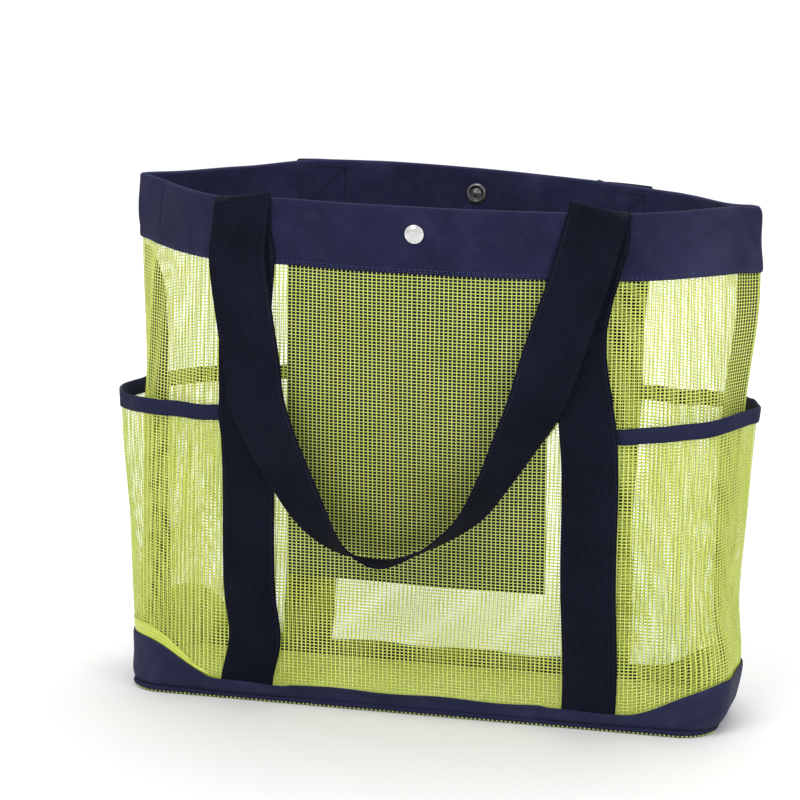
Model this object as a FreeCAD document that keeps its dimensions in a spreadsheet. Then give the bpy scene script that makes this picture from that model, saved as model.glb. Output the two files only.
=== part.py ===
import FreeCAD, Part
import math
import os
import Sketcher

# Open-topped mesh beach bag, millimetres, +Z up, front towards -Y.
#
# The origin is the middle of the underside. The walls are sewn cloth, so they are built as
# layers of one tapering envelope: a long rounded rectangle at the floor that becomes a
# lens-shaped mouth with folded ends. Each layer lies between two skins of that envelope.

SIZES = {
    # envelope, measured on the inner face of the mesh
    "bag_height": 360,
    "base_length": 414,
    "base_depth": 118,
    "base_corner": 24,
    "mouth_length": 436,
    "mouth_depth": 196,
    "centre_flat": 60,
    "shoulder_span": 284,
    "shoulder_depth": 156,
    "cheek_span": 368,
    "cheek_depth": 76,
    "fold_width": 6,
    # cloth
    "mesh_thickness": 1,
    "ply_thickness": 1,
    "webbing_width": 40,
    "webbing_thickness": 1.6,
    # top band
    "band_height": 45,
    "band_overlap": 12,
    # base
    "floor_thickness": 1,
    "boot_front_height": 14,
    "boot_end_height": 42,
    "boot_low_span": 300,
    "piping_radius": 1.8,
    "piping_gap": 0.5,
    # straps and handles
    "strap_gap": 200,
    "handle_drop": 250,
    "handle_clearance": 0.7,
    "handle_standoff": 5.2,
    "fold_height": 2.5,
    # side pockets
    "side_pocket_height": 210,
    "side_pocket_gape": 14,
    "pocket_binding_width": 10.5,
    # inner pocket
    "inner_pocket_width": 180,
    "inner_pocket_bottom": 95,
    "inner_pocket_top": 285,
    "inner_pocket_depth": 8,
    "inner_binding_width": 8,
    # seams inside the end folds
    "seam_tape_width": 9,
    "seam_tape_thickness": 1.6,
    # press snap
    "snap_drop": 17.5,
    "snap_cap_radius": 7,
    "snap_ring_radius": 6.2,
    "snap_shank_radius": 2.2,
    "snap_stud_radius": 2.7,
    "snap_clearance": 0.1,
    "snap_rim_height": 0.9,
    "snap_dome_height": 2.9,
    "snap_tail": 0.8,
    "snap_socket_depth": 3.4,
    "snap_socket_lip": 1.2,
    "snap_socket_play": 0.5,
    "snap_stud_depth": 4.2,
    "snap_stud_flange": 1.5,
    "snap_stud_rim": 0.7,
}

HANDLE_SECTIONS = 25
HANDLE_TWIST = 78.0
HANDLE_TWIST_START = 78.0
HANDLE_CURVE = 0.87
REGION_MARGIN = 60

doc = FreeCAD.newDocument("BeachBag")
sheet = doc.addObject("Spreadsheet::Sheet", "Sizes")
for row, (alias, value) in enumerate(SIZES.items(), start=1):
    sheet.set(f"A{row}", alias)
    sheet.set(f"B{row}", str(value))
    sheet.setAlias(f"B{row}", alias)
doc.recompute()

sub_parts = []


def size(alias):
    """The sheet's value of a size, for shapes that are worked out in code."""
    return float(getattr(sheet, alias))


def cell(alias):
    """The sheet's cell, as text for an expression."""
    return f"Sizes.{alias}"


def keep(label, feature):
    """Name a finished sub-part."""
    feature.Label = label
    sub_parts.append(feature)
    return feature


# ---------------------------------------------------------------- envelope outlines

CORNER_SET_BACK = f"({cell('base_corner')} * (1 - sqrt(0.5)))"

# One quadrant of the outline, from the middle of the front round to the end fold. Each
# corner has its place on the floor, its place at the mouth, the way it moves when the skin
# is offset outwards, and the way it moves when a side pocket gapes.
QUADRANT = (
    {
        "floor": (f"{cell('centre_flat')} / 2", f"{cell('base_depth')} / 2"),
        "mouth": (f"{cell('centre_flat')} / 2", f"{cell('mouth_depth')} / 2"),
        "outward": (0, 1),
        "gape": (0, 0),
    },
    {
        "floor": (f"{cell('base_length')} / 2 - {cell('base_corner')}", f"{cell('base_depth')} / 2"),
        "mouth": (f"{cell('shoulder_span')} / 2", f"{cell('shoulder_depth')} / 2"),
        "outward": (0.2, 1),
        "gape": (0, 0),
    },
    {
        "floor": (
            f"{cell('base_length')} / 2 - {CORNER_SET_BACK}",
            f"{cell('base_depth')} / 2 - {CORNER_SET_BACK}",
        ),
        "mouth": (f"{cell('cheek_span')} / 2", f"{cell('cheek_depth')} / 2"),
        "outward": (0.75, 0.75),
        "gape": (0.6, 0.6),
    },
    {
        "floor": (f"{cell('base_length')} / 2", f"{cell('base_depth')} / 2 - {cell('base_corner')}"),
        "mouth": (f"{cell('mouth_length')} / 2", f"{cell('fold_width')} / 2"),
        "outward": (1, 0.2),
        "gape": (1, 0),
    },
)


def envelope_corners(height, offset, gape="0"):
    """Expressions for the outline's sixteen corners at a height, anticlockwise from the front."""
    share = f"({height}) / {cell('bag_height')}"
    quadrant = []
    for corner in QUADRANT:
        place = []
        for axis in (0, 1):
            floor, mouth = corner["floor"][axis], corner["mouth"][axis]
            place.append(
                f"({floor} + ({mouth} - ({floor})) * {share}"
                f" + {corner['outward'][axis]} * ({offset}) + {corner['gape'][axis]} * ({gape}))"
            )
        quadrant.append(tuple(place))
    front_right = [(x, f"-{y}") for x, y in quadrant]
    back_right = [(x, y) for x, y in reversed(quadrant)]
    back_left = [(f"-{x}", y) for x, y in quadrant]
    front_left = [(f"-{x}", f"-{y}") for x, y in reversed(quadrant)]
    return front_right + back_right + back_left + front_left


def constrain_polygon(sketch, corners):
    """Draw a closed polygon whose corners are each dimensioned from the sketch's origin."""
    points = [
        FreeCAD.Vector(float(sketch.evalExpression(x)), float(sketch.evalExpression(y)), 0)
        for x, y in corners
    ]
    count = len(points)
    for index in range(count):
        sketch.addGeometry(Part.LineSegment(points[index], points[(index + 1) % count]), False)
    for index in range(count):
        sketch.addConstraint(Sketcher.Constraint("Coincident", index, 2, (index + 1) % count, 1))
    for index, (x, y) in enumerate(corners):
        point = points[index]
        for kind, expression, value in (("DistanceX", x, point.x), ("DistanceY", y, point.y)):
            number = sketch.addConstraint(Sketcher.Constraint(kind, -1, 1, index, 1, value))
            name = f"{kind}{index}"
            sketch.renameConstraint(number, name)
            sketch.setExpression(f"Constraints.{name}", expression)


def flat_outline(name, corners, height):
    """A horizontal outline at a height."""
    sketch = doc.addObject("Sketcher::SketchObject", name)
    sketch.setExpression("Placement.Base.z", height)
    constrain_polygon(sketch, corners)
    return sketch


def upright_outline(name, corners):
    """An outline in the XZ plane, given as (x, z) corners."""
    sketch = doc.addObject("Sketcher::SketchObject", name)
    sketch.Placement = FreeCAD.Placement(FreeCAD.Vector(), FreeCAD.Rotation(FreeCAD.Vector(1, 0, 0), 90))
    constrain_polygon(sketch, corners)
    return sketch


def loft(name, lower, upper):
    """A solid with straight rulings between two outlines."""
    feature = doc.addObject("Part::Loft", name)
    feature.Sections = [lower, upper]
    feature.Solid = True
    feature.Ruled = True
    return feature


def extrusion(name, sketch, length, symmetric=False):
    """A solid made by moving an outline along its normal."""
    feature = doc.addObject("Part::Extrusion", name)
    feature.Base = sketch
    feature.DirMode = "Normal"
    feature.Solid = True
    feature.Symmetric = symmetric
    feature.setExpression("LengthFwd", length)
    return feature


def box(name, low, high):
    """A box between two corners, each given as three expressions."""
    feature = doc.addObject("Part::Box", name)
    for prop, axis, start, end in zip(("Length", "Width", "Height"), "xyz", low, high):
        feature.setExpression(prop, f"({end}) - ({start})")
        feature.setExpression(f"Placement.Base.{axis}", start)
    return feature


def boolean(kind, name, base, tool):
    feature = doc.addObject(f"Part::{kind}", name)
    feature.Base = base
    feature.Tool = tool
    return feature


def skin(name, offset):
    """The whole envelope, floor to mouth, moved outwards by an offset."""
    height = cell("bag_height")
    lower = flat_outline(f"{name}Floor", envelope_corners("0", offset), "0")
    upper = flat_outline(f"{name}Mouth", envelope_corners(height, offset), height)
    return loft(name, lower, upper)


def layer(name, outer, inner):
    """The cloth between two skins."""
    return boolean("Cut", name, outer, inner)


# Offsets of the skins from the inner face of the mesh.
MESH_OUT = cell("mesh_thickness")
PLY_OUT = f"({cell('mesh_thickness')} + {cell('ply_thickness')})"
WEBBING_OUT = f"({cell('mesh_thickness')} + {cell('ply_thickness')} + {cell('webbing_thickness')})"
LINING_IN = f"(-{cell('ply_thickness')})"
SLOT_IN = f"(-{cell('ply_thickness')} - {cell('inner_pocket_depth')})"
POCKET_IN = f"(-2 * {cell('ply_thickness')} - {cell('inner_pocket_depth')})"

skin_mesh_in = skin("SkinMeshIn", "0")
skin_mesh_out = skin("SkinMeshOut", MESH_OUT)
skin_ply_out = skin("SkinPlyOut", PLY_OUT)
skin_webbing_out = skin("SkinWebbingOut", WEBBING_OUT)
skin_lining_in = skin("SkinLiningIn", LINING_IN)
skin_slot_in = skin("SkinSlotIn", SLOT_IN)
skin_pocket_in = skin("SkinPocketIn", POCKET_IN)

mesh_layer = layer("MeshLayer", skin_mesh_out, skin_mesh_in)
ply_layer = layer("PlyLayer", skin_ply_out, skin_mesh_out)
webbing_layer = layer("WebbingLayer", skin_webbing_out, skin_ply_out)
lining_layer = layer("LiningLayer", skin_mesh_in, skin_lining_in)
slot_layer = layer("SlotLayer", skin_lining_in, skin_slot_in)
pocket_layer = layer("PocketLayer", skin_lining_in, skin_pocket_in)
pocket_face_layer = layer("PocketFaceLayer", skin_slot_in, skin_pocket_in)

FAR_X = f"({cell('mouth_length')} / 2 + {REGION_MARGIN})"
FAR_Y = f"({cell('mouth_depth')} / 2 + {REGION_MARGIN})"
FLOOR_TOP = cell("floor_thickness")
BAND_BOTTOM = f"({cell('bag_height')} - {cell('band_height')})"
MESH_TOP = f"({cell('bag_height')} - {cell('band_height')} + {cell('band_overlap')})"
SIDES = {"front": (f"-{FAR_Y}", "0"), "back": ("0", FAR_Y)}
HANDS = {"left": -1, "right": 1}


def half_region(name, side, bottom, top):
    """The front or back half of everything between two heights."""
    low_y, high_y = SIDES[side]
    return box(name, (f"-{FAR_X}", low_y, bottom), (FAR_X, high_y, top))


# ---------------------------------------------------------------- mesh body and floor


def make_mesh_panels():
    for side in SIDES:
        region = half_region(f"MeshRegion{side.title()}", side, FLOOR_TOP, MESH_TOP)
        keep(f"{side}_mesh_panel", boolean("Common", f"Mesh{side.title()}", mesh_layer, region))


def make_floor():
    rim = f"({PLY_OUT} + {cell('piping_gap')} + 2 * {cell('piping_radius')})"
    outline = flat_outline("FloorOutline", envelope_corners("0", rim), "0")
    keep("bottom_mesh_panel", extrusion("Floor", outline, FLOOR_TOP))


def make_piping():
    """Round piping that runs along the seam between the boot and the floor."""
    offset = f"({PLY_OUT} + {cell('piping_gap')} + {cell('piping_radius')})"
    height = f"({FLOOR_TOP} + {cell('piping_radius')})"
    path = flat_outline("PipingPath", envelope_corners("0", offset), height)
    section = doc.addObject("Part::Circle", "PipingSection")
    section.setExpression("Radius", cell("piping_radius"))
    section.setExpression("Placement.Base.y", f"-({cell('base_depth')} / 2 + {offset})")
    section.setExpression("Placement.Base.z", height)
    section.Placement.Rotation = FreeCAD.Rotation(FreeCAD.Vector(0, 1, 0), 90)
    piping = doc.addObject("Part::Sweep", "Piping")
    piping.Sections = [section]
    piping.Spine = (path, [])
    piping.Solid = True
    piping.Frenet = False
    piping.Transition = "Right corner"
    keep("base_piping", piping)


def make_boot():
    """Coated cloth round the foot: low along the front and back, high round the ends."""
    low = cell("boot_front_height")
    high = cell("boot_end_height")
    rise = f"({high} - {low})"
    start = f"({cell('boot_low_span')} / 2)"
    run = f"({cell('base_length')} / 2 - {start})"
    half_curve = [
        (f"({start} + {along} * {run})", f"({low} + {up} * {rise})")
        for along, up in ((0, 0), (0.38, 0.17), (0.7, 0.48), (0.94, 0.93))
    ]
    half_curve.append((FAR_X, high))
    left_curve = [(f"-{x}", z) for x, z in reversed(half_curve)]
    corners = [(f"-{FAR_X}", FLOOR_TOP), (FAR_X, FLOOR_TOP)] + half_curve[::-1] + left_curve[::-1]
    profile = upright_outline("BootProfile", corners)
    region = extrusion("BootRegion", profile, f"2 * {FAR_Y}", symmetric=True)
    ring = boolean("Common", "BootRing", ply_layer, region)
    for side in SIDES:
        half = half_region(f"BootRegion{side.title()}", side, "0", cell("bag_height"))
        keep(f"{side}_boot", boolean("Common", f"Boot{side.title()}", ring, half))
    return region


def make_seam_tapes():
    """The bound end seams, which stand inwards as fins from the end folds."""
    bottom_x = f"({cell('base_length')} / 2 + ({cell('mouth_length')} - {cell('base_length')}) / 2"
    bottom_x += f" * {FLOOR_TOP} / {cell('bag_height')})"
    top_x = f"({cell('base_length')} / 2 + ({cell('mouth_length')} - {cell('base_length')}) / 2"
    top_x += f" * {BAND_BOTTOM} / {cell('bag_height')})"
    width = cell("seam_tape_width")
    for hand, sign in HANDS.items():
        corners = [
            (f"{sign} * ({bottom_x} - {width})", FLOOR_TOP),
            (f"{sign} * {bottom_x}", FLOOR_TOP),
            (f"{sign} * {top_x}", BAND_BOTTOM),
            (f"{sign} * ({top_x} - {width})", BAND_BOTTOM),
        ]
        profile = upright_outline(f"SeamProfile{hand.title()}", corners)
        tape = extrusion(f"SeamTape{hand.title()}", profile, cell("seam_tape_thickness"), symmetric=True)
        keep(f"side_seam_tape_{hand}", tape)


# ---------------------------------------------------------------- press snap

SNAP_HEIGHT = f"({cell('bag_height')} - {cell('snap_drop')})"
WALL_TILT = f"atan(({cell('mouth_depth')} - {cell('base_depth')}) / 2 / {cell('bag_height')})"
BAND_THICKNESS = f"({cell('mesh_thickness')} + 2 * {cell('ply_thickness')})"


def place_on_wall(feature, side, set_back="0"):
    """Stand a feature's own Z axis out of the front or back wall at the snap's height.

    The feature's origin is on the band's outer face, or set back from it along the axis.
    """
    sign = -1 if side == "front" else 1
    depth = f"({cell('base_depth')} / 2 + ({cell('mouth_depth')} - {cell('base_depth')}) / 2"
    depth += f" * {SNAP_HEIGHT} / {cell('bag_height')})"
    feature.Placement = FreeCAD.Placement(FreeCAD.Vector(), FreeCAD.Rotation(FreeCAD.Vector(1, 0, 0), 90))
    inward = f"{set_back} * cos({WALL_TILT})"
    feature.setExpression("Placement.Base.y", f"{sign} * ({depth} + {PLY_OUT} - {inward})")
    feature.setExpression("Placement.Base.z", f"{SNAP_HEIGHT} + {set_back} * sin({WALL_TILT})")
    feature.setExpression("Placement.Rotation.Angle", f"90 deg + {WALL_TILT}")
    feature.setExpression("Placement.Rotation.Axis.x", f"{-sign}")


def turned_part(label, side, profile):
    """A part turned about its own Z axis from a profile of (radius, height) corners."""
    body = doc.addObject("PartDesign::Body", "".join(word.title() for word in label.split("_")))
    sketch = body.newObject("Sketcher::SketchObject", f"{body.Name}Profile")
    plane = next(item for item in body.Origin.OriginFeatures if item.Role == "XZ_Plane")
    sketch.AttachmentSupport = (plane, [""])
    sketch.MapMode = "FlatFace"
    constrain_polygon(sketch, profile)
    revolution = body.newObject("PartDesign::Revolution", f"{body.Name}Turned")
    revolution.Profile = sketch
    revolution.ReferenceAxis = (sketch, ["V_Axis"])
    revolution.Angle = 360
    place_on_wall(body, side)
    keep(label, body)


def make_snap():
    cap, ring = cell("snap_cap_radius"), cell("snap_ring_radius")
    shank, stud = cell("snap_shank_radius"), cell("snap_stud_radius")
    clear = cell("snap_clearance")
    rim, crown = cell("snap_rim_height"), cell("snap_dome_height")
    through = f"({BAND_THICKNESS} + {cell('snap_tail')})"
    depth, lip = cell("snap_socket_depth"), cell("snap_socket_lip")
    bore = f"({stud} + {cell('snap_socket_play')})"
    tip, flange, edge = cell("snap_stud_depth"), cell("snap_stud_flange"), cell("snap_stud_rim")
    shank_tail = [("0", f"-{through}"), (shank, f"-{through}"), (shank, "0")]
    dome = [
        (cap, "0"),
        (cap, rim),
        (f"{cap} * 0.86", f"{crown} * 0.59"),
        (f"{cap} * 0.55", f"{crown} * 0.86"),
        ("0", crown),
    ]
    turned_part("snap_cap", "front", shank_tail + dome)
    socket_base = f"({BAND_THICKNESS})"
    socket = [
        (f"{shank} + {clear}", f"-{socket_base}"),
        (f"{shank} + {clear}", f"-{socket_base} - {rim}"),
        (bore, f"-{socket_base} - {rim}"),
        (bore, f"-{socket_base} - {depth}"),
        (f"{ring} * 0.8", f"-{socket_base} - {depth}"),
        (ring, f"-{socket_base} - {lip}"),
        (ring, f"-{socket_base}"),
    ]
    turned_part("snap_socket", "front", socket)
    post = [
        ("0", f"-{through}"),
        (shank, f"-{through}"),
        (shank, "0"),
        (ring, "0"),
        (f"{ring} * 0.9", rim),
        ("0", rim),
    ]
    turned_part("snap_post", "back", post)
    stud_profile = [
        (f"{shank} + {clear}", f"-{socket_base}"),
        (f"{shank} + {clear}", f"-{through} - {clear}"),
        ("0", f"-{through} - {clear}"),
        ("0", f"-{socket_base} - {tip}"),
        (f"{stud} * 0.8", f"-{socket_base} - {tip}"),
        (stud, f"-{socket_base} - {tip} * 0.76"),
        (f"{stud} * 0.9", f"-{socket_base} - {flange}"),
        (f"{ring} * 0.8", f"-{socket_base} - {flange}"),
        (ring, f"-{socket_base} - {edge}"),
        (ring, f"-{socket_base}"),
    ]
    turned_part("snap_stud", "back", stud_profile)


# ---------------------------------------------------------------- top band


def make_band():
    """The band is one ply folded over the mesh's top edge, so its section is an upside-down U."""
    whole = layer("BandBlank", skin_ply_out, skin_lining_in)
    groove_region = box("BandGrooveRegion", (f"-{FAR_X}", f"-{FAR_Y}", "0"), (FAR_X, FAR_Y, MESH_TOP))
    groove = boolean("Common", "BandGroove", mesh_layer, groove_region)
    folded = boolean("Cut", "BandFolded", whole, groove)
    for side in SIDES:
        region = half_region(f"BandRegion{side.title()}", side, BAND_BOTTOM, cell("bag_height"))
        half = boolean("Common", f"BandHalf{side.title()}", folded, region)
        hole = doc.addObject("Part::Cylinder", f"SnapHole{side.title()}")
        hole.setExpression("Radius", f"{cell('snap_shank_radius')} + {cell('snap_clearance')}")
        hole.setExpression("Height", f"3 * {BAND_THICKNESS}")
        place_on_wall(hole, side, f"(2 * {BAND_THICKNESS})")
        keep(f"{side}_top_band", boolean("Cut", f"Band{side.title()}", half, hole))


# ---------------------------------------------------------------- straps


def make_straps():
    """Webbing sewn up the outside, from the boot's top edge to the mouth."""
    inner = f"({cell('strap_gap')} / 2)"
    outer = f"({cell('strap_gap')} / 2 + {cell('webbing_width')})"
    for side, (low_y, high_y) in SIDES.items():
        for hand, sign in HANDS.items():
            low_x, high_x = (inner, outer) if sign > 0 else (f"-{outer}", f"-{inner}")
            name = f"{side.title()}{hand.title()}"
            region = box(
                f"StrapRegion{name}",
                (low_x, low_y, cell("boot_front_height")),
                (high_x, high_y, cell("bag_height")),
            )
            keep(f"{side}_strap_{hand}", boolean("Common", f"Strap{name}", webbing_layer, region))


# ---------------------------------------------------------------- side pockets


def make_side_pockets(boot_region):
    """Mesh pockets that wrap each end from strap to strap, with a bound, gaping mouth."""
    height = cell("side_pocket_height")
    skins = []
    for name, offset in (("PocketIn", MESH_OUT), ("PocketOut", PLY_OUT)):
        lower = flat_outline(f"{name}Floor", envelope_corners("0", offset), "0")
        upper_corners = envelope_corners(height, offset, cell("side_pocket_gape"))
        upper = flat_outline(f"{name}Top", upper_corners, height)
        skins.append(loft(name, lower, upper))
    whole = layer("SidePocketLayer", skins[1], skins[0])
    above_boot = boolean("Cut", "SidePocketAboveBoot", whole, boot_region)
    bottom = cell("boot_front_height")
    binding_bottom = f"({height} - {cell('pocket_binding_width')})"
    edge = f"({cell('strap_gap')} / 2 + {cell('webbing_width')} / 2)"
    for hand, sign in HANDS.items():
        low_x, high_x = (edge, FAR_X) if sign > 0 else (f"-{FAR_X}", f"-{edge}")
        name = hand.title()
        mesh_region = box(
            f"SidePocketRegion{name}",
            (low_x, f"-{FAR_Y}", bottom),
            (high_x, FAR_Y, binding_bottom),
        )
        keep(f"side_pocket_{hand}", boolean("Common", f"SidePocket{name}", above_boot, mesh_region))
        tape_region = box(
            f"BindingRegion{name}",
            (low_x, f"-{FAR_Y}", binding_bottom),
            (high_x, FAR_Y, height),
        )
        binding = boolean("Common", f"Binding{name}", above_boot, tape_region)
        keep(f"side_pocket_binding_{hand}", binding)


# ---------------------------------------------------------------- inner pocket


def make_inner_pocket():
    """A dark cloth pocket hung from the band inside the front panel."""
    bottom, top = cell("inner_pocket_bottom"), cell("inner_pocket_top")
    half = f"({cell('inner_pocket_width')} / 2)"
    ply = cell("ply_thickness")
    front = f"-{FAR_Y}"

    backing_region = box("PocketBackingRegion", (f"-{half}", front, bottom), (half, "0", BAND_BOTTOM))
    keep("inner_pocket_backing", boolean("Common", "PocketBacking", lining_layer, backing_region))

    tray_region = box("PocketTrayRegion", (f"-{half}", front, bottom), (half, "0", top))
    tray = boolean("Common", "PocketTray", pocket_layer, tray_region)
    hollow_region = box(
        "PocketHollowRegion",
        (f"-({half} - {ply})", front, f"{bottom} + {ply}"),
        (f"({half} - {ply})", "0", top),
    )
    hollow = boolean("Common", "PocketHollow", slot_layer, hollow_region)
    keep("inner_pocket_panel", boolean("Cut", "PocketPanel", tray, hollow))

    binding_top = f"{top} + {cell('inner_binding_width')}"
    binding_region = box("PocketBindingRegion", (f"-{half}", front, top), (half, "0", binding_top))
    binding = boolean("Common", "PocketBinding", pocket_face_layer, binding_region)
    keep("inner_pocket_binding", binding)


# ---------------------------------------------------------------- handles


def wall_depth(across, height):
    """Half depth of the envelope on the flank between the centre flat and the shoulder."""
    share = height / size("bag_height")
    centre_x = size("centre_flat") / 2
    centre_y = size("base_depth") / 2 + (size("mouth_depth") - size("base_depth")) / 2 * share
    shoulder_floor = size("base_length") / 2 - size("base_corner")
    shoulder_x = shoulder_floor + (size("shoulder_span") / 2 - shoulder_floor) * share
    shoulder_y = size("base_depth") / 2 + (size("shoulder_depth") - size("base_depth")) / 2 * share
    along = (across - centre_x) / (shoulder_x - centre_x)
    return centre_y + (shoulder_y - centre_y) * along


def handle_sections():
    """Rectangular sections along the hanging loop, which turns its flat face up at the bottom."""
    half_span = size("strap_gap") / 2 + size("webbing_width") / 2
    top = size("bag_height") + size("fold_height")
    low = size("bag_height") - size("handle_drop")
    strap_face = wall_depth(size("strap_gap") / 2, size("bag_height"))
    strap_face += size("mesh_thickness") + size("ply_thickness") + size("webbing_thickness")
    plane = strap_face + size("handle_clearance") + size("webbing_thickness") / 2
    half_width, half_thickness = size("webbing_width") / 2, size("webbing_thickness") / 2
    mesh_face = wall_depth(size("centre_flat") / 2, low) + size("mesh_thickness")
    reach = half_width * math.sin(math.radians(HANDLE_TWIST)) + half_thickness
    low_lean = max(0.0, mesh_face + reach + size("handle_standoff") - plane)

    wires = []
    for index in range(HANDLE_SECTIONS):
        angle = -90 + 180 * index / (HANDLE_SECTIONS - 1)
        turn = math.radians(angle)
        rise = (1 - math.cos(turn)) ** HANDLE_CURVE
        lean = low_lean * (1 - rise)
        middle = FreeCAD.Vector(half_span * math.sin(turn), -(plane + lean), low + (top - low) * rise)
        slope = HANDLE_CURVE * max(1 - math.cos(turn), 1e-9) ** (HANDLE_CURVE - 1) * math.sin(turn)
        tangent = FreeCAD.Vector(half_span * math.cos(turn), 0, (top - low) * slope).normalize()
        across = tangent.cross(FreeCAD.Vector(0, 1, 0)).normalize()
        twist = math.radians(HANDLE_TWIST * max(0.0, 1 - (angle / HANDLE_TWIST_START) ** 2))
        wide = across * math.cos(twist) + FreeCAD.Vector(0, math.sin(twist), 0)
        thick = tangent.cross(wide).normalize()
        corners = [
            middle + wide * (a * half_width) + thick * (b * half_thickness)
            for a, b in ((-1, -1), (1, -1), (1, 1), (-1, 1), (-1, -1))
        ]
        wires.append(Part.makePolygon(corners))
    return wires


def make_handles():
    """Loops of the same webbing, folded over the mouth and hanging outside."""
    ribbon = Part.makeLoft(handle_sections(), True, True)
    for side in SIDES:
        handle = doc.addObject("Part::Feature", f"{side.title()}Handle")
        handle.Shape = ribbon
        half_turn = 0 if side == "front" else 180
        handle.Placement = FreeCAD.Placement(
            FreeCAD.Vector(), FreeCAD.Rotation(FreeCAD.Vector(0, 0, 1), half_turn)
        )
        keep(f"{side}_handle", handle)


# ---------------------------------------------------------------- build and export


def check_document():
    """Stop if any object failed to build, or if a sub-part isn't a sound solid."""
    failed = [item.Name for item in doc.Objects if {"Invalid", "Error"} & set(item.State)]
    if failed:
        raise RuntimeError(f"objects failed to build: {failed}")
    for part in sub_parts:
        shape = part.Shape
        if shape.isNull() or not shape.isValid() or not shape.Solids or shape.Volume <= 0:
            raise RuntimeError(f"{part.Label} isn't a sound solid")


def export_parts():
    os.makedirs("parts", exist_ok=True)
    for part in sub_parts:
        part.Shape.exportStep(os.path.join("parts", f"{part.Label}.step"))
        box_size = part.Shape.BoundBox
        print(
            f"{part.Label:28s} solids {len(part.Shape.Solids)} volume {part.Shape.Volume:10.1f}"
            f"  x {box_size.XMin:7.1f} {box_size.XMax:7.1f}  y {box_size.YMin:7.1f} {box_size.YMax:7.1f}"
            f"  z {box_size.ZMin:7.1f} {box_size.ZMax:7.1f}"
        )


make_mesh_panels()
make_floor()
make_piping()
boot_region = make_boot()
make_seam_tapes()
make_band()
make_snap()
make_straps()
make_side_pockets(boot_region)
make_inner_pocket()
make_handles()
doc.recompute()
check_document()
export_parts()
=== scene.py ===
"""Looks of the beach bag: its soft layers follow one wall surface, lofted from base to mouth."""
import math

import bpy
import numpy as np
from mathutils import Matrix, Vector


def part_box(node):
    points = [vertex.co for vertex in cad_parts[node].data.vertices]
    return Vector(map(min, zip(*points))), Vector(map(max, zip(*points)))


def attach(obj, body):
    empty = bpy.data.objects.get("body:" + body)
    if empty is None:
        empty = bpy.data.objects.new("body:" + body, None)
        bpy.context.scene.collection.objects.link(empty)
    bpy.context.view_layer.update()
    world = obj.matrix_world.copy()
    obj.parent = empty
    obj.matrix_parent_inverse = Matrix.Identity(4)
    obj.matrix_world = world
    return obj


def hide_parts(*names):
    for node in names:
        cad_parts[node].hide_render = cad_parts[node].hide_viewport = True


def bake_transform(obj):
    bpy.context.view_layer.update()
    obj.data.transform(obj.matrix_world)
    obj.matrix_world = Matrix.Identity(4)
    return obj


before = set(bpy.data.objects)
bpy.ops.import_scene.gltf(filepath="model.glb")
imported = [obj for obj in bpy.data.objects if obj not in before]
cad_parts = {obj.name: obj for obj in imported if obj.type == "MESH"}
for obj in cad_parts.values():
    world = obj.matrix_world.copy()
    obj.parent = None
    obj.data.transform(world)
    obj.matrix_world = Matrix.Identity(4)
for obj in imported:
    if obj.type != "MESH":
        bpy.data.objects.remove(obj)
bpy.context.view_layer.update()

MM = 0.001


def box_mm(node):
    """A CAD node's lowest and highest corners, in millimetres."""
    low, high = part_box(node)
    return np.array(low) / MM, np.array(high) / MM


# ---------------------------------------------------------------- sizes, read from the frame
band_low, band_high = box_mm("front_top_band")
boot_high = box_mm("front_boot")[1]
floor_high = box_mm("bottom_mesh_panel")[1]
strap_low, strap_high = box_mm("front_strap_right")
piping_low, piping_high = box_mm("base_piping")
binding_low, binding_high = box_mm("side_pocket_binding_right")
backing_low, backing_high = box_mm("inner_pocket_backing")
slot_low, slot_high = box_mm("inner_pocket_binding")
panel_low, panel_high = box_mm("inner_pocket_panel")
handle_low = box_mm("front_handle")[0]
cap_low, cap_high = box_mm("snap_cap")

PLY = 1.0
HEIGHT = band_high[2]
BAND_HEIGHT = band_high[2] - band_low[2]
MOUTH_HALF_LENGTH = band_high[0] - 2 * PLY
MOUTH_HALF_DEPTH = abs(band_low[1]) - 2 * PLY
BOOT_STANDOFF = 3.2
BASE_HALF_LENGTH = boot_high[0] - BOOT_STANDOFF
BASE_HALF_DEPTH = 59.0
BASE_CORNER = 24.0
WEBBING_WIDTH = strap_high[0] - strap_low[0]
WEBBING_THICKNESS = 1.6
STRAP_X = (strap_low[0] + strap_high[0]) / 2

NET_PITCH_ACROSS = 3.04
NET_PITCH_UP = 2.30
NET_STRAND_ACROSS = 0.19
NET_STRAND_UP = 0.195
NET_THICKNESS = 0.42


# ---------------------------------------------------------------- curves
def smooth(x, start, end):
    """0 before start, 1 after end, with a soft change between."""
    t = np.clip((np.asarray(x, float) - start) / (end - start), 0, 1)
    return t * t * (3 - 2 * t)


def bump(x, centre, width):
    """A soft hump, 1 at its centre."""
    return np.exp(-(((np.asarray(x, float) - centre) / width) ** 2))


def unit(vectors):
    return vectors / np.maximum(np.linalg.norm(vectors, axis=-1, keepdims=True), 1e-9)


def lengths(points):
    """The length along a path, at each of its points."""
    steps = np.linalg.norm(np.diff(points, axis=0), axis=1)
    return np.concatenate([[0], np.cumsum(steps)])


def spline(points, count=400):
    """A smooth curve through the points, as many points, by Catmull-Rom."""
    p = np.array(points, float)
    p = np.vstack([2 * p[0] - p[1], p, 2 * p[-1] - p[-2]])
    spans = len(p) - 3
    out = []
    for t in np.linspace(0, spans - 1e-9, count):
        i = int(t)
        f = t - i
        a, b, c, d = p[i : i + 4]
        out.append(
            0.5 * (2 * b + (c - a) * f + (2 * a - 5 * b + 4 * c - d) * f**2
                   + (3 * b - a - 3 * c + d) * f**3)
        )
    return np.array(out)


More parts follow.
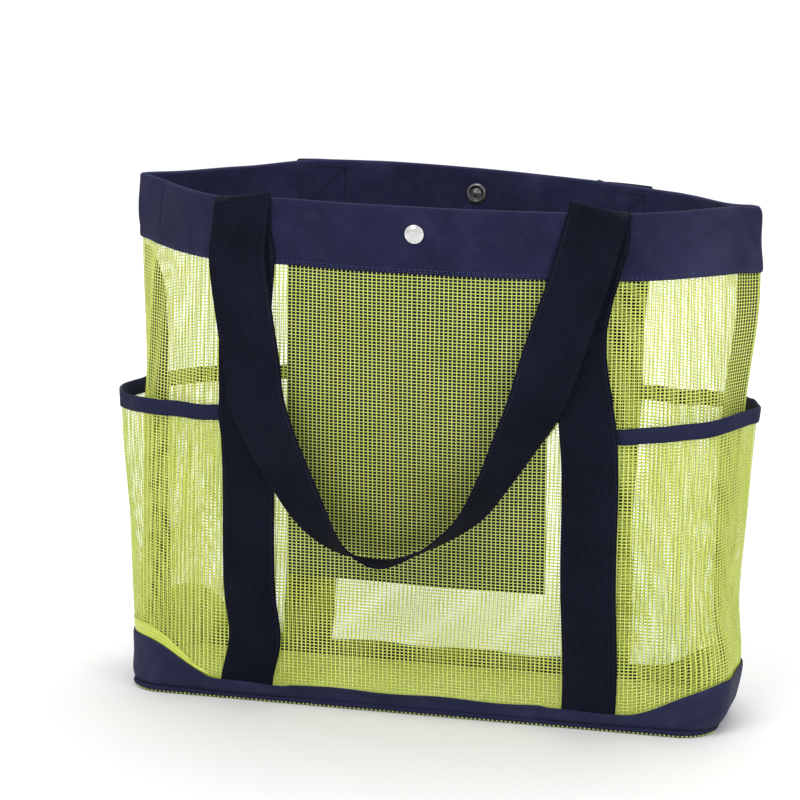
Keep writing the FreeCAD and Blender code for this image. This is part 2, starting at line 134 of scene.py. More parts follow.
def by_length(points, count=1601):
    """The same curve at even steps of length, and its length."""
    along = lengths(points)
    even = np.linspace(0, along[-1], count)
    columns = [np.interp(even, along, points[:, k]) for k in range(points.shape[1])]
    return np.stack(columns, 1), along[-1]


def eased(knots, count=801, softness=25):
    """A soft line through (position, value) knots on -1..1, as a table."""
    xs = np.linspace(-1, 1, count)
    ys = np.interp(xs, [k[0] for k in knots], [k[1] for k in knots])
    kernel = np.hanning(2 * softness + 1)
    kernel /= kernel.sum()
    padded = np.concatenate([np.full(softness, ys[0]), ys, np.full(softness, ys[-1])])
    return xs, np.convolve(padded, kernel, "valid")


def girth(section):
    """The length round a section's outline, at each of its points."""
    return np.cumsum([0] + [math.dist(a, b) for a, b in zip(section, section[1:])])


def base_quarter():
    """The base's outline from the middle of one side to the right end."""
    straight = [(0, BASE_HALF_DEPTH), (BASE_HALF_LENGTH - BASE_CORNER, BASE_HALF_DEPTH)]
    centre = (BASE_HALF_LENGTH - BASE_CORNER, BASE_HALF_DEPTH - BASE_CORNER)
    turn = [
        (centre[0] + BASE_CORNER * math.sin(a), centre[1] + BASE_CORNER * math.cos(a))
        for a in np.linspace(0.1, math.pi / 2, 12)
    ]
    return np.array(straight + turn + [(BASE_HALF_LENGTH, 0)], float)


def mouth_quarter():
    """The mouth's outline from the middle of one side to the right end."""
    across, deep = MOUTH_HALF_LENGTH, MOUTH_HALF_DEPTH
    shape = [
        (0, 1.0), (0.18, 0.985), (0.41, 0.91), (0.62, 0.80), (0.745, 0.615),
        (0.88, 0.29), (0.972, 0.078), (1.0, 0.0),
    ]
    whole = [(-x * across, y * deep) for x, y in shape[1:3]][::-1]
    whole += [(x * across, y * deep) for x, y in shape]
    whole += [(x * across, -y * deep) for x, y in shape[-3:-1]][::-1]
    curve = spline(whole, 1200)
    keep = (curve[:, 0] >= 0) & (curve[:, 1] >= 0)
    return curve[keep]


BASE_LINE, BASE_LENGTH = by_length(base_quarter())
MOUTH_LINE, MOUTH_LENGTH = by_length(mouth_quarter())
QUARTER = (BASE_LENGTH + MOUTH_LENGTH) / 2

# how far the mouth's edge stands above its plain height, along the front and the back
TOP_FRONT = eased([(-1, -2), (-0.87, -1.7), (-0.72, -2.8), (-0.5, -3), (-0.36, -0.3), (0, 0),
                   (0.35, 0.2), (0.6, 0.4), (0.9, 0), (1, -2)])
TOP_BACK = eased([(-1, -2), (-0.8, -3), (-0.62, -2.6), (-0.45, 2.2), (-0.24, 2), (0, 0),
                  (0.2, -2), (0.38, -3.5), (0.55, -6), (0.76, -5.5), (1, -2)])


def folded(q):
    """The loop's place q as a share of a half (-1 left end, 1 right end) and its side.

    q is 0 in the middle of the front, 1 at the right end, 2 in the middle of the back and 3 or -1
    at the left end. The side is -1 for the front and 1 for the back.
    """
    q = np.asarray(q, float)
    q = (q + 1) % 4 - 1
    front = q <= 1
    return np.where(front, q, 2 - q), np.where(front, -1.0, 1.0)


def table(line, s):
    """x and |y| of a quarter outline at the signed share s."""
    place = np.abs(s) * (len(line) - 1)
    x = np.interp(place, np.arange(len(line)), line[:, 0]) * np.sign(s)
    y = np.interp(place, np.arange(len(line)), line[:, 1])
    return x, y


def ripple(s, side, z):
    """How far the soft wall stands off its plain loft, in millimetres."""
    up = z / HEIGHT
    slow = np.sin(5.1 * s + 1.3 * side + 2.2 * up) * np.sin(3.0 * up + 0.7)
    quick = np.sin(17.0 * s + 6.0 * up + side) * np.sin(9.0 * up + 1.9 * s)
    sag = 3.4 * np.sin(math.pi * np.clip(up, 0, 1)) * (1 - s * s)
    fold_left = 2.6 * bump(s + 0.16 * (1 - up), -0.80, 0.035) * smooth(up, 0.30, 0.55)
    fold_left += 1.8 * bump(s + 0.20 * (1 - up), -0.70, 0.03) * smooth(up, 0.40, 0.6)
    fold_right = 2.0 * bump(s - 0.15 * (1 - up), 0.78, 0.04) * smooth(up, 0.45, 0.7)
    folds = np.where(side < 0, fold_left + fold_right, 0.6 * fold_left + fold_right)
    folds = folds * (1 - smooth(up, 0.80, 0.9))
    ends = 1 - smooth(np.abs(s), 0.93, 1.0)
    low = smooth(up, 0.0, 0.12)
    return (sag + (0.9 * slow + 0.45 * quick + folds) * ends) * low


def loft(q, z):
    """The wall's inner face before it is thickened. z is the height along the cloth, to HEIGHT."""
    s, side = folded(q)
    up = np.clip(z / HEIGHT, -0.05, 1.05)
    lean = 0.045 * bump(np.abs(s), 0.80, 0.11) * up
    s_mouth = np.clip(np.abs(s) + lean, 0, 1) * np.sign(s)
    base_x, base_y = table(BASE_LINE, s)
    mouth_x, mouth_y = table(MOUTH_LINE, s_mouth)
    x = base_x + (mouth_x - base_x) * up
    y = (base_y + (mouth_y - base_y) * up) * side
    front = np.interp(s, *TOP_FRONT)
    back = np.interp(s, *TOP_BACK)
    edge = np.where(side < 0, front, back)
    shared = (front + back) / 2
    tip = smooth(np.abs(s), 0.9, 1.0)
    edge = edge + (shared - edge) * tip
    height = z + edge * smooth(up, 0.72, 0.98)
    left_tip, right_tip = smooth(-s, 0.72, 1.0), smooth(s, 0.75, 1.0)
    left_bulge = 1.5 * bump(z, 225, 60) + 1.0 * smooth(z, 325, 360) + 1.6 * bump(z, 23, 9)
    right_bulge = 3.0 * bump(z, 288, 42) - 1.8 * bump(z, 205, 60) - 3.0 * smooth(z, 322, 358)
    x = x + left_bulge * left_tip
    x = x + right_bulge * right_tip
    right_end = smooth(s, 0.62, 0.85)
    x = x + (7.0 * bump(z, 40, 32) - 5.0 * (1 - smooth(z, 0, 16))) * right_end
    x = x + 2.5 * (1 - smooth(z, 0, 14)) * smooth(-s, 0.7, 0.9)
    back_corner = smooth(s, 0.60, 0.80) * smooth(1 - s, 0.0, 0.14) * (side > 0)
    x = x - 9.0 * back_corner * (1 - smooth(z, 60, 170))
    return x, y, height


def wall(q, z, offset=0.0):
    """Points on the wall at loop place q and cloth height z, an offset outside its inner face."""
    q, z, offset = np.broadcast_arrays(*(np.asarray(value, float) for value in (q, z, offset)))
    step_q, step_z = 0.012, 3.0
    p = np.stack(loft(q, z), -1)
    along = np.stack(loft(q + step_q, z), -1) - np.stack(loft(q - step_q, z), -1)
    rise = np.stack(loft(q, z + step_z), -1) - np.stack(loft(q, z - step_z), -1)
    normal = unit(np.cross(along, rise))
    s, side = folded(q)
    out = offset + ripple(s, side, z)
    return p + normal * out[..., None]


def q_at(x, z, side):
    """The loop place where the wall has that x at that height, on the front (-1) or back (1)."""
    s = np.linspace(-1, 1, 1201)
    x, z = np.broadcast_arrays(np.asarray(x, float), np.asarray(z, float))
    found = np.empty(x.shape)
    for i in np.ndindex(x.shape):
        xs = loft(s, np.full(s.shape, z[i]))[0]
        found[i] = np.interp(x[i], xs, s)
    return found if side < 0 else 2 - found


# ---------------------------------------------------------------- meshes
def add_mesh(name, verts, quads, maps, material, smooth_faces=True, corner_maps=None):
    """A mesh object from arrays in millimetres, with named UV maps given for each vertex."""
    mesh = bpy.data.meshes.new(name)
    quads = np.asarray(quads, np.int32)
    mesh.vertices.add(len(verts))
    mesh.vertices.foreach_set("co", (np.asarray(verts) * MM).astype(np.float32).ravel())
    mesh.loops.add(quads.size)
    mesh.loops.foreach_set("vertex_index", quads.ravel())
    mesh.polygons.add(len(quads))
    mesh.polygons.foreach_set("loop_start", np.arange(0, quads.size, 4, dtype=np.int32))
    for label, uv in maps.items():
        layer = mesh.uv_layers.new(name=label)
        layer.data.foreach_set("uv", np.asarray(uv, np.float32)[quads.ravel()].ravel())
    for label, uv in (corner_maps or {}).items():
        layer = mesh.uv_layers.new(name=label)
        layer.data.foreach_set("uv", np.asarray(uv, np.float32).ravel())
    mesh.polygons.foreach_set("use_smooth", np.full(len(quads), smooth_faces))
    mesh.update(calc_edges=True)
    mesh.validate()
    mesh.materials.append(material)
    obj = bpy.data.objects.new(name, mesh)
    bpy.context.scene.collection.objects.link(obj)
    return obj


def grid_quads(rows, columns, start=0, close_rows=False, close_columns=False, flip=False):
    """Faces between neighbouring points of a rows x columns grid."""
    r = np.arange(rows if close_rows else rows - 1)
    c = np.arange(columns if close_columns else columns - 1)
    r, c = np.meshgrid(r, c, indexing="ij")
    r1, c1 = (r + 1) % rows, (c + 1) % columns
    quads = np.stack([r * columns + c, r * columns + c1, r1 * columns + c1, r1 * columns + c], -1)
    quads = quads.reshape(-1, 4) + start
    return quads[:, ::-1] if flip else quads


def profile_piece(name, places, weave, material, loop=False):
    """A piece from a grid of points: rows run along it, columns round its section."""
    rows, columns = places.shape[:2]
    quads = [grid_quads(rows, columns, close_columns=True, close_rows=loop)]
    if not loop:
        for row, flip in ((0, False), (rows - 1, True)):
            half = columns // 2
            ring = np.arange(columns) + row * columns
            a, b = ring[:half], ring[::-1][:half]
            cap = np.stack([a[:-1], a[1:], b[1:], b[:-1]], -1)
            quads.append(cap if flip else cap[:, ::-1])
    maps = {"weave": weave.reshape(-1, 2)}
    return add_mesh(name, places.reshape(-1, 3), np.vstack(quads), maps, material)


# a net's place on its bake map: the outer and the inner sheet side by side, with a margin
BAKE_SHARE = (0.49, 0.99)
BAKE_OUTER = (0.003, 0.005)
BAKE_INNER = (0.503, 0.005)


def net_piece(name, surface, across, up, material):
    """A net with real holes. surface(u, v, offset) gives points; across and up are its sizes."""
    columns = max(2, int(round(across / NET_PITCH_ACROSS)))
    rows = max(2, int(round(up / NET_PITCH_UP)))

    def lines(cells, strand):
        whole = np.arange(cells)
        edges = np.stack([whole, whole + strand], 1).ravel()
        return np.append(edges, [cells, cells + strand]) / (cells + strand)

    u, v = lines(columns, NET_STRAND_ACROSS), lines(rows, NET_STRAND_UP)
    vv, uu = np.meshgrid(v, u, indexing="ij")
    outer = surface(uu, vv, NET_THICKNESS).reshape(-1, 3)
    inner = surface(uu, vv, 0.0).reshape(-1, 3)
    n_v, n_u = vv.shape
    count = n_v * n_u
    r, c = np.meshgrid(np.arange(n_v - 1), np.arange(n_u - 1), indexing="ij")
    corner = r * n_u + c
    ring = np.stack([corner, corner + 1, corner + n_u + 1, corner + n_u], -1)
    hole = (r % 2 == 1) & (c % 2 == 1)
    solid, holes = ring[~hole], ring[hole]

    def join(a, b):
        """Faces from the outer to the inner sheet, between the points a and b."""
        return np.stack([a, a + count, b + count, b], -1)

    first, left = np.arange(n_u - 1), np.arange(n_v - 1) * n_u
    last, right = first + (n_v - 1) * n_u, left + n_u - 1
    edges = [join(holes[:, i], holes[:, (i + 1) % 4]) for i in range(4)] + [
        join(first, first + 1)[:, ::-1], join(last, last + 1),
        join(left, left + n_u), join(right, right + n_u)[:, ::-1],
    ]
    quads = np.vstack([solid, solid[:, ::-1] + count] + edges)
    flat = np.stack([uu.ravel() * across, vv.ravel() * up], -1)
    place = np.stack([uu.ravel(), vv.ravel()], -1)
    corners = np.vstack([
        place[solid.ravel()] * BAKE_SHARE + BAKE_OUTER,
        place[solid[:, ::-1].ravel()] * BAKE_SHARE + BAKE_INNER,
        place[(np.vstack(edges) % count).ravel()] * BAKE_SHARE + BAKE_OUTER,
    ])
    return add_mesh(name, np.vstack([outer, inner]), quads, {"weave": np.vstack([flat, flat])},
                    material, corner_maps={"OFBake": corners})


def cloth_piece(name, surface, across, up, thickness, material, columns, rows):
    """A thin closed ply with soft rounded edges over surface(u, v, offset)."""
    inside = np.linspace(0, 1, columns)[1:-1]
    half = thickness / 2
    edge = min(0.35 * half / across, 0.01)
    upper, lower = half + half * 0.9, half * 0.1
    section = [(0, half), (edge, upper)] + [(x, 2 * half) for x in inside]
    section += [(1 - edge, upper), (1, half), (1 - edge, lower)]
    section += [(x, 0) for x in inside[::-1]] + [(edge, lower)]
    section = np.array(section)
    vv = np.repeat(np.linspace(0, 1, rows)[:, None], len(section), 1)
    uu = np.repeat(section[None, :, 0], rows, 0)
    off = np.repeat(section[None, :, 1], rows, 0)
    narrow = np.ones(rows)
    narrow[0] = narrow[-1] = 0.35
    off = half + (off - half) * narrow[:, None]
    places = surface(uu, vv, off).reshape(-1, 3)
    weave = np.stack([uu * across, vv * up], -1).reshape(-1, 2)
    around = len(section)
    quads = [grid_quads(rows, around, close_columns=True)]
    for row, flip in ((0, False), (rows - 1, True)):
        order = np.arange(around) + row * around
        a = order[: around // 2 + 1]
        b = np.concatenate([[order[0]], order[::-1][: around // 2]])
        cap = np.stack([a[:-1], a[1:], b[1:], b[:-1]], -1)[1:]
        quads.append(cap if flip else cap[:, ::-1])
    return add_mesh(name, places, np.vstack(quads), {"weave": weave}, material)


def wall_surface(q0, q1, z0, z1, offset=0.0):
    """surface(u, v, offset) over part of the wall. The edges may be functions of u."""
    def at(u, v, off):
        q = q0 + (q1 - q0) * u
        low = z0(q) if callable(z0) else z0
        high = z1(q) if callable(z1) else z1
        extra = offset(q, low + (high - low) * v) if callable(offset) else offset
        return wall(q, low + (high - low) * v, off + extra)
    return at


# along a stitch: its place, its share of the full width, and how high its top is
STITCH_STATIONS = (
    (0, 0.35, -0.2), (0.18, 0.9, 0.75), (0.5, 1.0, 1.0), (0.82, 0.9, 0.75), (1, 0.35, -0.2),
)
# round a stitch: its place across the half width, and whether that is on its top
STITCH_SECTION = ((-1, False), (-0.6, True), (0.6, True), (1, False))
STITCH_SINK = -0.35


class Stitches:
    """Rows of thread, gathered into one object."""

    def __init__(self):
        self.verts, self.quads, self.maps, self.count = [], [], [], 0

    def row(self, path, normals, pitch=3.6, length=2.7, width=0.62, height=0.42):
        """Stitches at even steps along a path."""
        path = np.asarray(path, float)
        along = lengths(path)
        number = max(1, int(along[-1] / pitch))
        normals = np.broadcast_to(np.asarray(normals, float), path.shape)

        def at(where, values):
            return np.stack([np.interp(where, along, values[:, k]) for k in range(3)], -1)

        middle = (np.arange(number) + 0.5) * along[-1] / number
        a, b = at(middle - length / 2, path), at(middle + length / 2, path)
        n = unit(at(middle, normals))
        w = np.cross(n, unit(b - a))
        shape = []
        for share, wide, lift in STITCH_STATIONS:
            centre = a + (b - a) * share
            for side, on_top in STITCH_SECTION:
                rise = height * (lift if on_top else STITCH_SINK)
                shape.append(centre + w * (side * wide * width / 2) + n * rise)
        round_it, points = len(STITCH_SECTION), len(shape)
        quads = [
            (i * round_it + j, i * round_it + j + 1, i * round_it + j + 5, i * round_it + j + 4)
            for i in range(len(STITCH_STATIONS) - 1) for j in range(round_it - 1)
        ]
        quads += [(0, 1, 2, 3), (16, 17, 18, 19)]
        base = self.count + np.arange(number)[:, None, None] * points
        self.quads.append((np.array(quads)[None] + base).reshape(-1, 4))
        self.verts.append(np.stack(shape, 1).reshape(-1, 3))
        ticks = np.tile(np.arange(points) * 0.1, number)
        self.maps.append(np.stack([np.repeat(middle, points), ticks], -1))
        self.count += number * points

    def on_wall(self, q0, q1, z, offset, **sizes):
        q = np.linspace(q0, q1, max(8, int(abs(q1 - q0) * QUARTER / 2)))
        zs = z(q) if callable(z) else np.full(q.shape, float(z))
        path = wall(q, zs, offset)
        self.row(path, wall(q, zs, offset + 1) - path, **sizes)

    def finish(self, name, material):
        maps = {"weave": np.vstack(self.maps)}
        return add_mesh(name, np.vstack(self.verts), np.vstack(self.quads), maps, material)


def lathe(name, profile, origin, axis, material, segments=64):
    """A turned piece: profile is (radius, distance along the axis), in millimetres."""
    axis = unit(np.array(axis, float))
    side = unit(np.cross(axis, (1.0, 0, 0)))
    other = np.cross(axis, side)
    angles = np.linspace(0, 2 * math.pi, segments, endpoint=False)
    ring = np.cos(angles)[:, None] * side + np.sin(angles)[:, None] * other
    r, h = np.array(profile).T
    places = origin + ring[None] * r[:, None, None] + axis * h[:, None, None]
    uv = np.stack(np.broadcast_arrays(angles[None] * 5, h[:, None] * 2 + r[:, None]), -1)
    quads = grid_quads(len(profile), segments, close_columns=True)
    return add_mesh(name, places.reshape(-1, 3), quads, {"weave": uv.reshape(-1, 2)}, material)


# ---------------------------------------------------------------- materials
class Nodes:
    """A material's node tree, with short calls for the nodes used here."""

    def __init__(self, name):
        self.material = bpy.data.materials.new(name)
        self.material.use_nodes = True
        self.tree = self.material.node_tree
        self.bsdf = self.tree.nodes["Principled BSDF"]

    def add(self, kind, inputs=(), **settings):
        node = self.tree.nodes.new(kind)
        for key, value in settings.items():
            setattr(node, key, value)
        for key, value in dict(inputs).items():
            self.put(node.inputs[key], value)
        return node

    def put(self, socket, value):
        """A value, or a link from another node, goes into a socket."""
        if isinstance(value, bpy.types.NodeSocket):
            self.tree.links.new(value, socket)
        elif socket.type == "RGBA" and len(value) == 3:
            socket.default_value = (*value, 1)
        else:
            socket.default_value = value

    def math(self, operation, a, b=0.0):
        return self.add("ShaderNodeMath", {0: a, 1: b}, operation=operation).outputs[0]

    def wave(self, value, rate):
        return self.math("SINE", self.math("MULTIPLY", value, rate))

    def total(self, a, a_share, b, b_share):
        """The sum of two values, each times its share."""
        first, second = self.math("MULTIPLY", a, a_share), self.math("MULTIPLY", b, b_share)
        return self.math("ADD", first, second)

    def uv(self):
        node = self.add("ShaderNodeUVMap", uv_map="weave")
        split = self.add("ShaderNodeSeparateXYZ", {0: node.outputs[0]})
        return node.outputs[0], split.outputs[0], split.outputs[1]

    def noise(self, vector, scale, detail=3.0, roughness=0.55):
        return self.add(
            "ShaderNodeTexNoise",
            {"Vector": vector, "Scale": scale, "Detail": detail, "Roughness": roughness},
        ).outputs["Fac"]

    def place(self):
        return self.add("ShaderNodeTexCoord").outputs["Object"]

    def ramp(self, fac, stops):
        node = self.add("ShaderNodeValToRGB", {"Fac": fac})
        ramp = node.color_ramp
        while len(ramp.elements) < len(stops):
            ramp.elements.new(0.5)
        for element, (position, colour) in zip(ramp.elements, stops):
            element.position = position
            element.color = (*colour, 1)
        return node.outputs["Color"]

    def shades(self, value, low, high, dark, light):
        """From dark to light as the value goes from low to high."""
        return self.ramp(self.between(value, low, high), [(0.0, dark), (1.0, light)])

    def mix(self, fac, a, b):
        node = self.add("ShaderNodeMix", data_type="RGBA", blend_type="MIX")
        for index, value in ((0, fac), (6, a), (7, b)):
            self.put(node.inputs[index], value)
        return node.outputs[2]

    def between(self, value, low, high, to_low=0.0, to_high=1.0):
        return self.add(
            "ShaderNodeMapRange",
            {0: value, 1: low, 2: high, 3: to_low, 4: to_high},
        ).outputs[0]

    def finish(self, colour, roughness, height=None, strength=0.5, distance=0.0004, sheen=0.0,
               metal=0.0, specular=0.5):
        for key, value in (
            ("Base Color", colour), ("Roughness", roughness), ("Metallic", metal),
            ("Sheen Weight", sheen), ("Sheen Roughness", 0.45), ("Specular IOR Level", specular),
        ):
            self.put(self.bsdf.inputs[key], value)
        if height is not None:
            settings = {"Height": height, "Strength": strength, "Distance": distance}
            node = self.add("ShaderNodeBump", settings)
            self.tree.links.new(node.outputs[0], self.bsdf.inputs["Normal"])
        return self.material


def woven(name, dark, light, pitch, sheen=0.02, roughness=0.80, wear_and_highlight=None, fold=None, end=None):
    """Plain woven cloth: warp and weft crossings, uneven dye and slight fuzz.

    It has a painted highlight along its fold, given as the weave's v there, and a painted
    highlight towards one end, given as where that paling starts and is whole. The pale colour
    serves both the random worn patches and these painted highlights.
    """
    n = Nodes(name)
    vector, u, v = n.uv()
    across, along = n.wave(u, math.pi / pitch), n.wave(v, math.pi / pitch)
    threads = n.math("ABSOLUTE", n.math("MULTIPLY", across, along))
    slub = n.noise(vector, 1.4, 3.0, 0.75)
    cloud = n.noise(n.place(), 17.0, 3.0)
    crossings = n.between(threads, 0.0, 1.0, 0.55, 1.0)
    speckle = n.math("MULTIPLY", n.between(slub, 0.38, 0.63), crossings)
    fac = n.total(n.between(cloud, 0.3, 0.7), 0.38, speckle, 0.75)
    colour = n.ramp(fac, [(0.0, dark), (1.0, light)])
    if wear_and_highlight:
        fade = n.between(n.noise(n.place(), 34.0, 4.0), 0.56, 0.80, 0.0, 0.30)
        colour = n.mix(fade, colour, wear_and_highlight)
        rubbed = n.between(n.noise(n.place(), 75.0, 3.0), 0.45, 0.75, 0.0, 0.14)
        colour = n.mix(rubbed, colour, wear_and_highlight)
    # painted highlight: a pale line along the cloth's top fold, where light catches its edge
    if fold:
        distance = n.math("ABSOLUTE", n.math("SUBTRACT", v, fold))
        fold_highlight = n.math("SUBTRACT", 1.0, n.between(distance, 0.3, 1.9))
        fold_highlight = n.math("MULTIPLY", fold_highlight, n.between(slub, 0.3, 0.7, 0.25, 0.8))
        colour = n.mix(fold_highlight, colour, wear_and_highlight)
    # painted highlight: the cloth grows paler in patches towards its right end, where light falls
    # on it
    if end:
        across_place = n.add("ShaderNodeSeparateXYZ", {0: n.place()}).outputs[0]
        end_highlight_patches = n.between(cloud, 0.35, 0.65, 0.15, 0.55)
        colour = n.mix(n.math("MULTIPLY", n.between(across_place, *end), end_highlight_patches), colour, wear_and_highlight)
    height = n.math("ADD", threads, n.math("MULTIPLY", n.noise(vector, 0.25, 4.0), 0.8))
    rough = n.between(cloud, 0.3, 0.7, roughness - 0.08, roughness + 0.08)
    return n.finish(colour, rough, height, 0.55, 0.0003, sheen, specular=0.09)


def ribbed(name, dark, light, rib=1.45, sheen=0.0):
    """Webbing: fine cords along its length, broken by the slanting lines of its twill."""
    n = Nodes(name)
    vector, u, v = n.uv()
    cords = n.math("ABSOLUTE", n.wave(u, math.pi / rib))
    slant = n.math("ADD", v, n.math("MULTIPLY", n.math("PINGPONG", u, WEBBING_WIDTH / 4), 0.8))
    dashes = n.math("ABSOLUTE", n.wave(slant, math.pi / (1.15 * rib)))
    yarn = n.math("MULTIPLY", cords, n.between(dashes, 0.0, 1.0, 0.35, 1.0))
    fuzz = n.noise(vector, 1.3, 3.0)
    cloud = n.noise(n.place(), 26.0, 4.0)
    height = n.total(yarn, 0.9, fuzz, 0.35)
    shade = n.total(cloud, 0.35, fuzz, 0.35)
    fac = n.math("ADD", n.math("MULTIPLY", yarn, 0.42), shade)
    colour = n.shades(fac, 0.34, 0.80, dark, light)
    rough = n.between(fuzz, 0.3, 0.7, 0.62, 0.8)
    return n.finish(colour, rough, height, 0.8, 0.0005, sheen, specular=0.04)


def coated(name, deep, bright):
    """Coated net yarn: a soft shine, a slightly uneven coat, and the yarn's twist under it."""
    n = Nodes(name)
    vector, u, v = n.uv()
    cloud = n.noise(n.place(), 30.0, 3.0)
    speck = n.noise(vector, 0.7, 2.0)
    fac = n.total(cloud, 0.6, speck, 0.4)
    colour = n.shades(fac, 0.32, 0.68, deep, bright)
    twist = n.wave(n.math("ADD", u, v), 5.0)
    height = n.math("ADD", n.math("MULTIPLY", twist, 0.3), speck)
    rough = n.between(speck, 0.3, 0.7, 0.38, 0.52)
    for key, value in (("Weight", 0.45), ("Radius", (1.0, 1.0, 0.35)), ("Scale", 0.0012)):
        n.put(n.bsdf.inputs[f"Subsurface {key}"], value)
    return n.finish(colour, rough, height, 0.35, 0.0002, 0.0, specular=0.9)


def thread(name, dark, light):
    """Twisted sewing thread."""
    n = Nodes(name)
    vector, u, v = n.uv()
    twist = n.math("SINE", n.total(u, 7.0, v, 4.0))
    colour = n.shades(n.noise(vector, 0.8, 2.0), 0.3, 0.7, dark, light)
    return n.finish(colour, 0.6, twist, 0.5, 0.0002, specular=0.25)


def metal(name, dark, light, roughness):
    """Plated metal, slightly clouded and scratched."""
    n = Nodes(name)
    scratch = n.noise(n.place(), 900.0, 5.0)
    cloud = n.noise(n.place(), 160.0, 3.0)
    colour = n.shades(cloud, 0.35, 0.65, dark, light)
    rough = n.between(scratch, 0.3, 0.7, roughness - 0.06, roughness + 0.08)
    return n.finish(colour, rough, scratch, 0.12, 0.00004, metal=1.0)


LIME = coated("lime_net", (0.54, 0.64, 0.065), (0.73, 0.83, 0.175))
HEM = coated("lime_hem", (0.42, 0.50, 0.040), (0.62, 0.71, 0.095))
# the band's cloth gets a painted highlight along its top fold and towards its right end
NAVY = woven("navy_cloth_look", (0.0046, 0.0050, 0.021), (0.0235, 0.0245, 0.071), 0.8,
             wear_and_highlight=(0.047, 0.051, 0.103), fold=46.5, end=(0.135, 0.215))
BOOT = woven("navy_boot_look", (0.0085, 0.0098, 0.031), (0.027, 0.030, 0.078), 0.8,
             roughness=0.62, wear_and_highlight=(0.065, 0.072, 0.135))
TRIM = woven("navy_trim_look", (0.009, 0.010, 0.032), (0.022, 0.025, 0.065), 0.6)
POCKET = woven("pocket_cloth_look", (0.006, 0.007, 0.018), (0.014, 0.016, 0.036), 0.7)
WEBBING = ribbed("webbing_look", (0.0009, 0.0013, 0.0038), (0.0120, 0.0142, 0.028))
THREAD = thread("blue_thread", (0.022, 0.025, 0.095), (0.052, 0.058, 0.17))
DARK_THREAD = thread("dark_thread", (0.003, 0.004, 0.011), (0.011, 0.014, 0.030))
SILVER = metal("silver_snap_look", (0.62, 0.62, 0.61), (0.80, 0.80, 0.78), 0.26)
GUNMETAL = metal("dark_snap_look", (0.07, 0.07, 0.075), (0.17, 0.17, 0.18), 0.30)


def settle(obj, slot, *nodes, body="bag"):
    """The piece rides on a body and stands for its CAD nodes, which it hides; the slot is not
    used.
    """
    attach(obj, body)
    if nodes:
        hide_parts(*nodes)
    return obj


# ---------------------------------------------------------------- nets
BAND_BOTTOM = HEIGHT - BAND_HEIGHT
PANEL_EDGE = STRAP_X / QUARTER
NET_FOOT = 1.5
NET_TOP = BAND_BOTTOM + 9
BOOT_FRONT = 14.0
BOOT_END = boot_high[2] - 1.5
HALVES = (("front", 0.0), ("back", 2.0))
for side_name, middle in HALVES:
    for part, start, end in (
        ("left", middle - 1, middle - PANEL_EDGE),
        ("middle", middle - PANEL_EDGE, middle + PANEL_EDGE),
        ("right", middle + PANEL_EDGE, middle + 1),
    ):
        surface = wall_surface(start, end, NET_FOOT, NET_TOP)
        obj = net_piece(f"{side_name}_net_{part}", surface, (end - start) * QUARTER, NET_TOP, LIME)
        settle(obj, "lime_mesh", f"{side_name}_mesh_panel")


def floor_surface(u, v, off):
    """The floor net, out to the piping along the sides, with soft hollows."""
    left, right = -BASE_HALF_LENGTH + 1.0, BASE_HALF_LENGTH - 5.0
    x = left + u * (right - left)
    corner = BASE_CORNER + 8
    past = np.clip(np.maximum(left + corner - x, x - (right - corner)), 0, corner)
    depth = floor_high[1] - 4.0 - corner + np.sqrt(np.maximum(corner**2 - past**2, 0))
    y = (2 * v - 1) * depth
    inside = (1 - np.abs(2 * u - 1) ** 6) * (1 - np.abs(2 * v - 1) ** 4)
    dip = 0.9 * np.sin(x / 37.0 + 1.0) * np.sin(y / 19.0) * inside
    return np.stack([x, y, 0.1 + off + 0.8 + np.maximum(dip, -0.8)], -1)


floor = net_piece("floor_net", floor_surface, 2 * floor_high[0], 2 * floor_high[1], LIME)
settle(floor, "lime_mesh", "bottom_mesh_panel")


# side pockets: the same net, tucked under the straps and the boot, gaping at the mouth
POCKET_TOP = binding_low[2] + 1.0
BINDING_TOP = binding_high[2]


def boot_top(q):
    """The boot's upper edge: low across the middle and high round the ends."""
    s = folded(q)[0]
    arc = np.abs(s) * QUARTER
    rise = np.where(s < 0, smooth(arc, 138, 195), smooth(arc, 148, 212))
    wave = 0.6 * np.sin(s * 21.0)
    return BOOT_FRONT + (BOOT_END - BOOT_FRONT) * rise + wave


def pocket_rise(q):
    """How much the pockets' mouths are pulled up: left by the straps, right by the end."""
    s = folded(q)[0]
    left = 2.2 - 6.0 * smooth(-s, 0.50, 0.98)
    right = 5.0 + 6.5 * smooth(s, 0.55, 1.0)
    return np.where(s > 0, right, left)


def gape(q, z):
    """How far a side pocket stands off the wall."""
    s = folded(q)[0]
    foot = boot_top(q)
    rise = np.clip((z - foot) / (BINDING_TOP - foot), 0, 1.1)
    left = 17.5 * smooth(-s, 0.55, 0.97) * rise ** 0.75
    right = 7.5 * smooth(s, 0.56, 0.95) * rise
    return np.where(s < 0, left, right) + 1.25


BINDING_HEIGHT = 10.6
BINDING_SECTION = [(-0.9, 0.0), (-1.0, 2.6), (-1.05, 6.5), (-0.9, 9.6), (-0.2, 10.6), (0.6, 10.7),
                   (1.5, 9.7), (1.75, 6.4), (1.7, 2.6), (1.6, 0.0), (1.0, -0.3), (-0.4, -0.3)]
HEM_LIFT = 0.5


def pocket_top(q):
    return POCKET_TOP + pocket_rise(q)


def hem_top(q):
    """The left pocket's foot hem shows above the boot where that rises round the end."""
    return boot_top(q) + 0.6 + 8.4 * smooth(np.abs(folded(q)[0]) * QUARTER, 138, 190)


def hem_gape(q, z):
    return gape(q, z) + HEM_LIFT + 0.2 * np.sin((z - boot_top(q)) * 2.4)


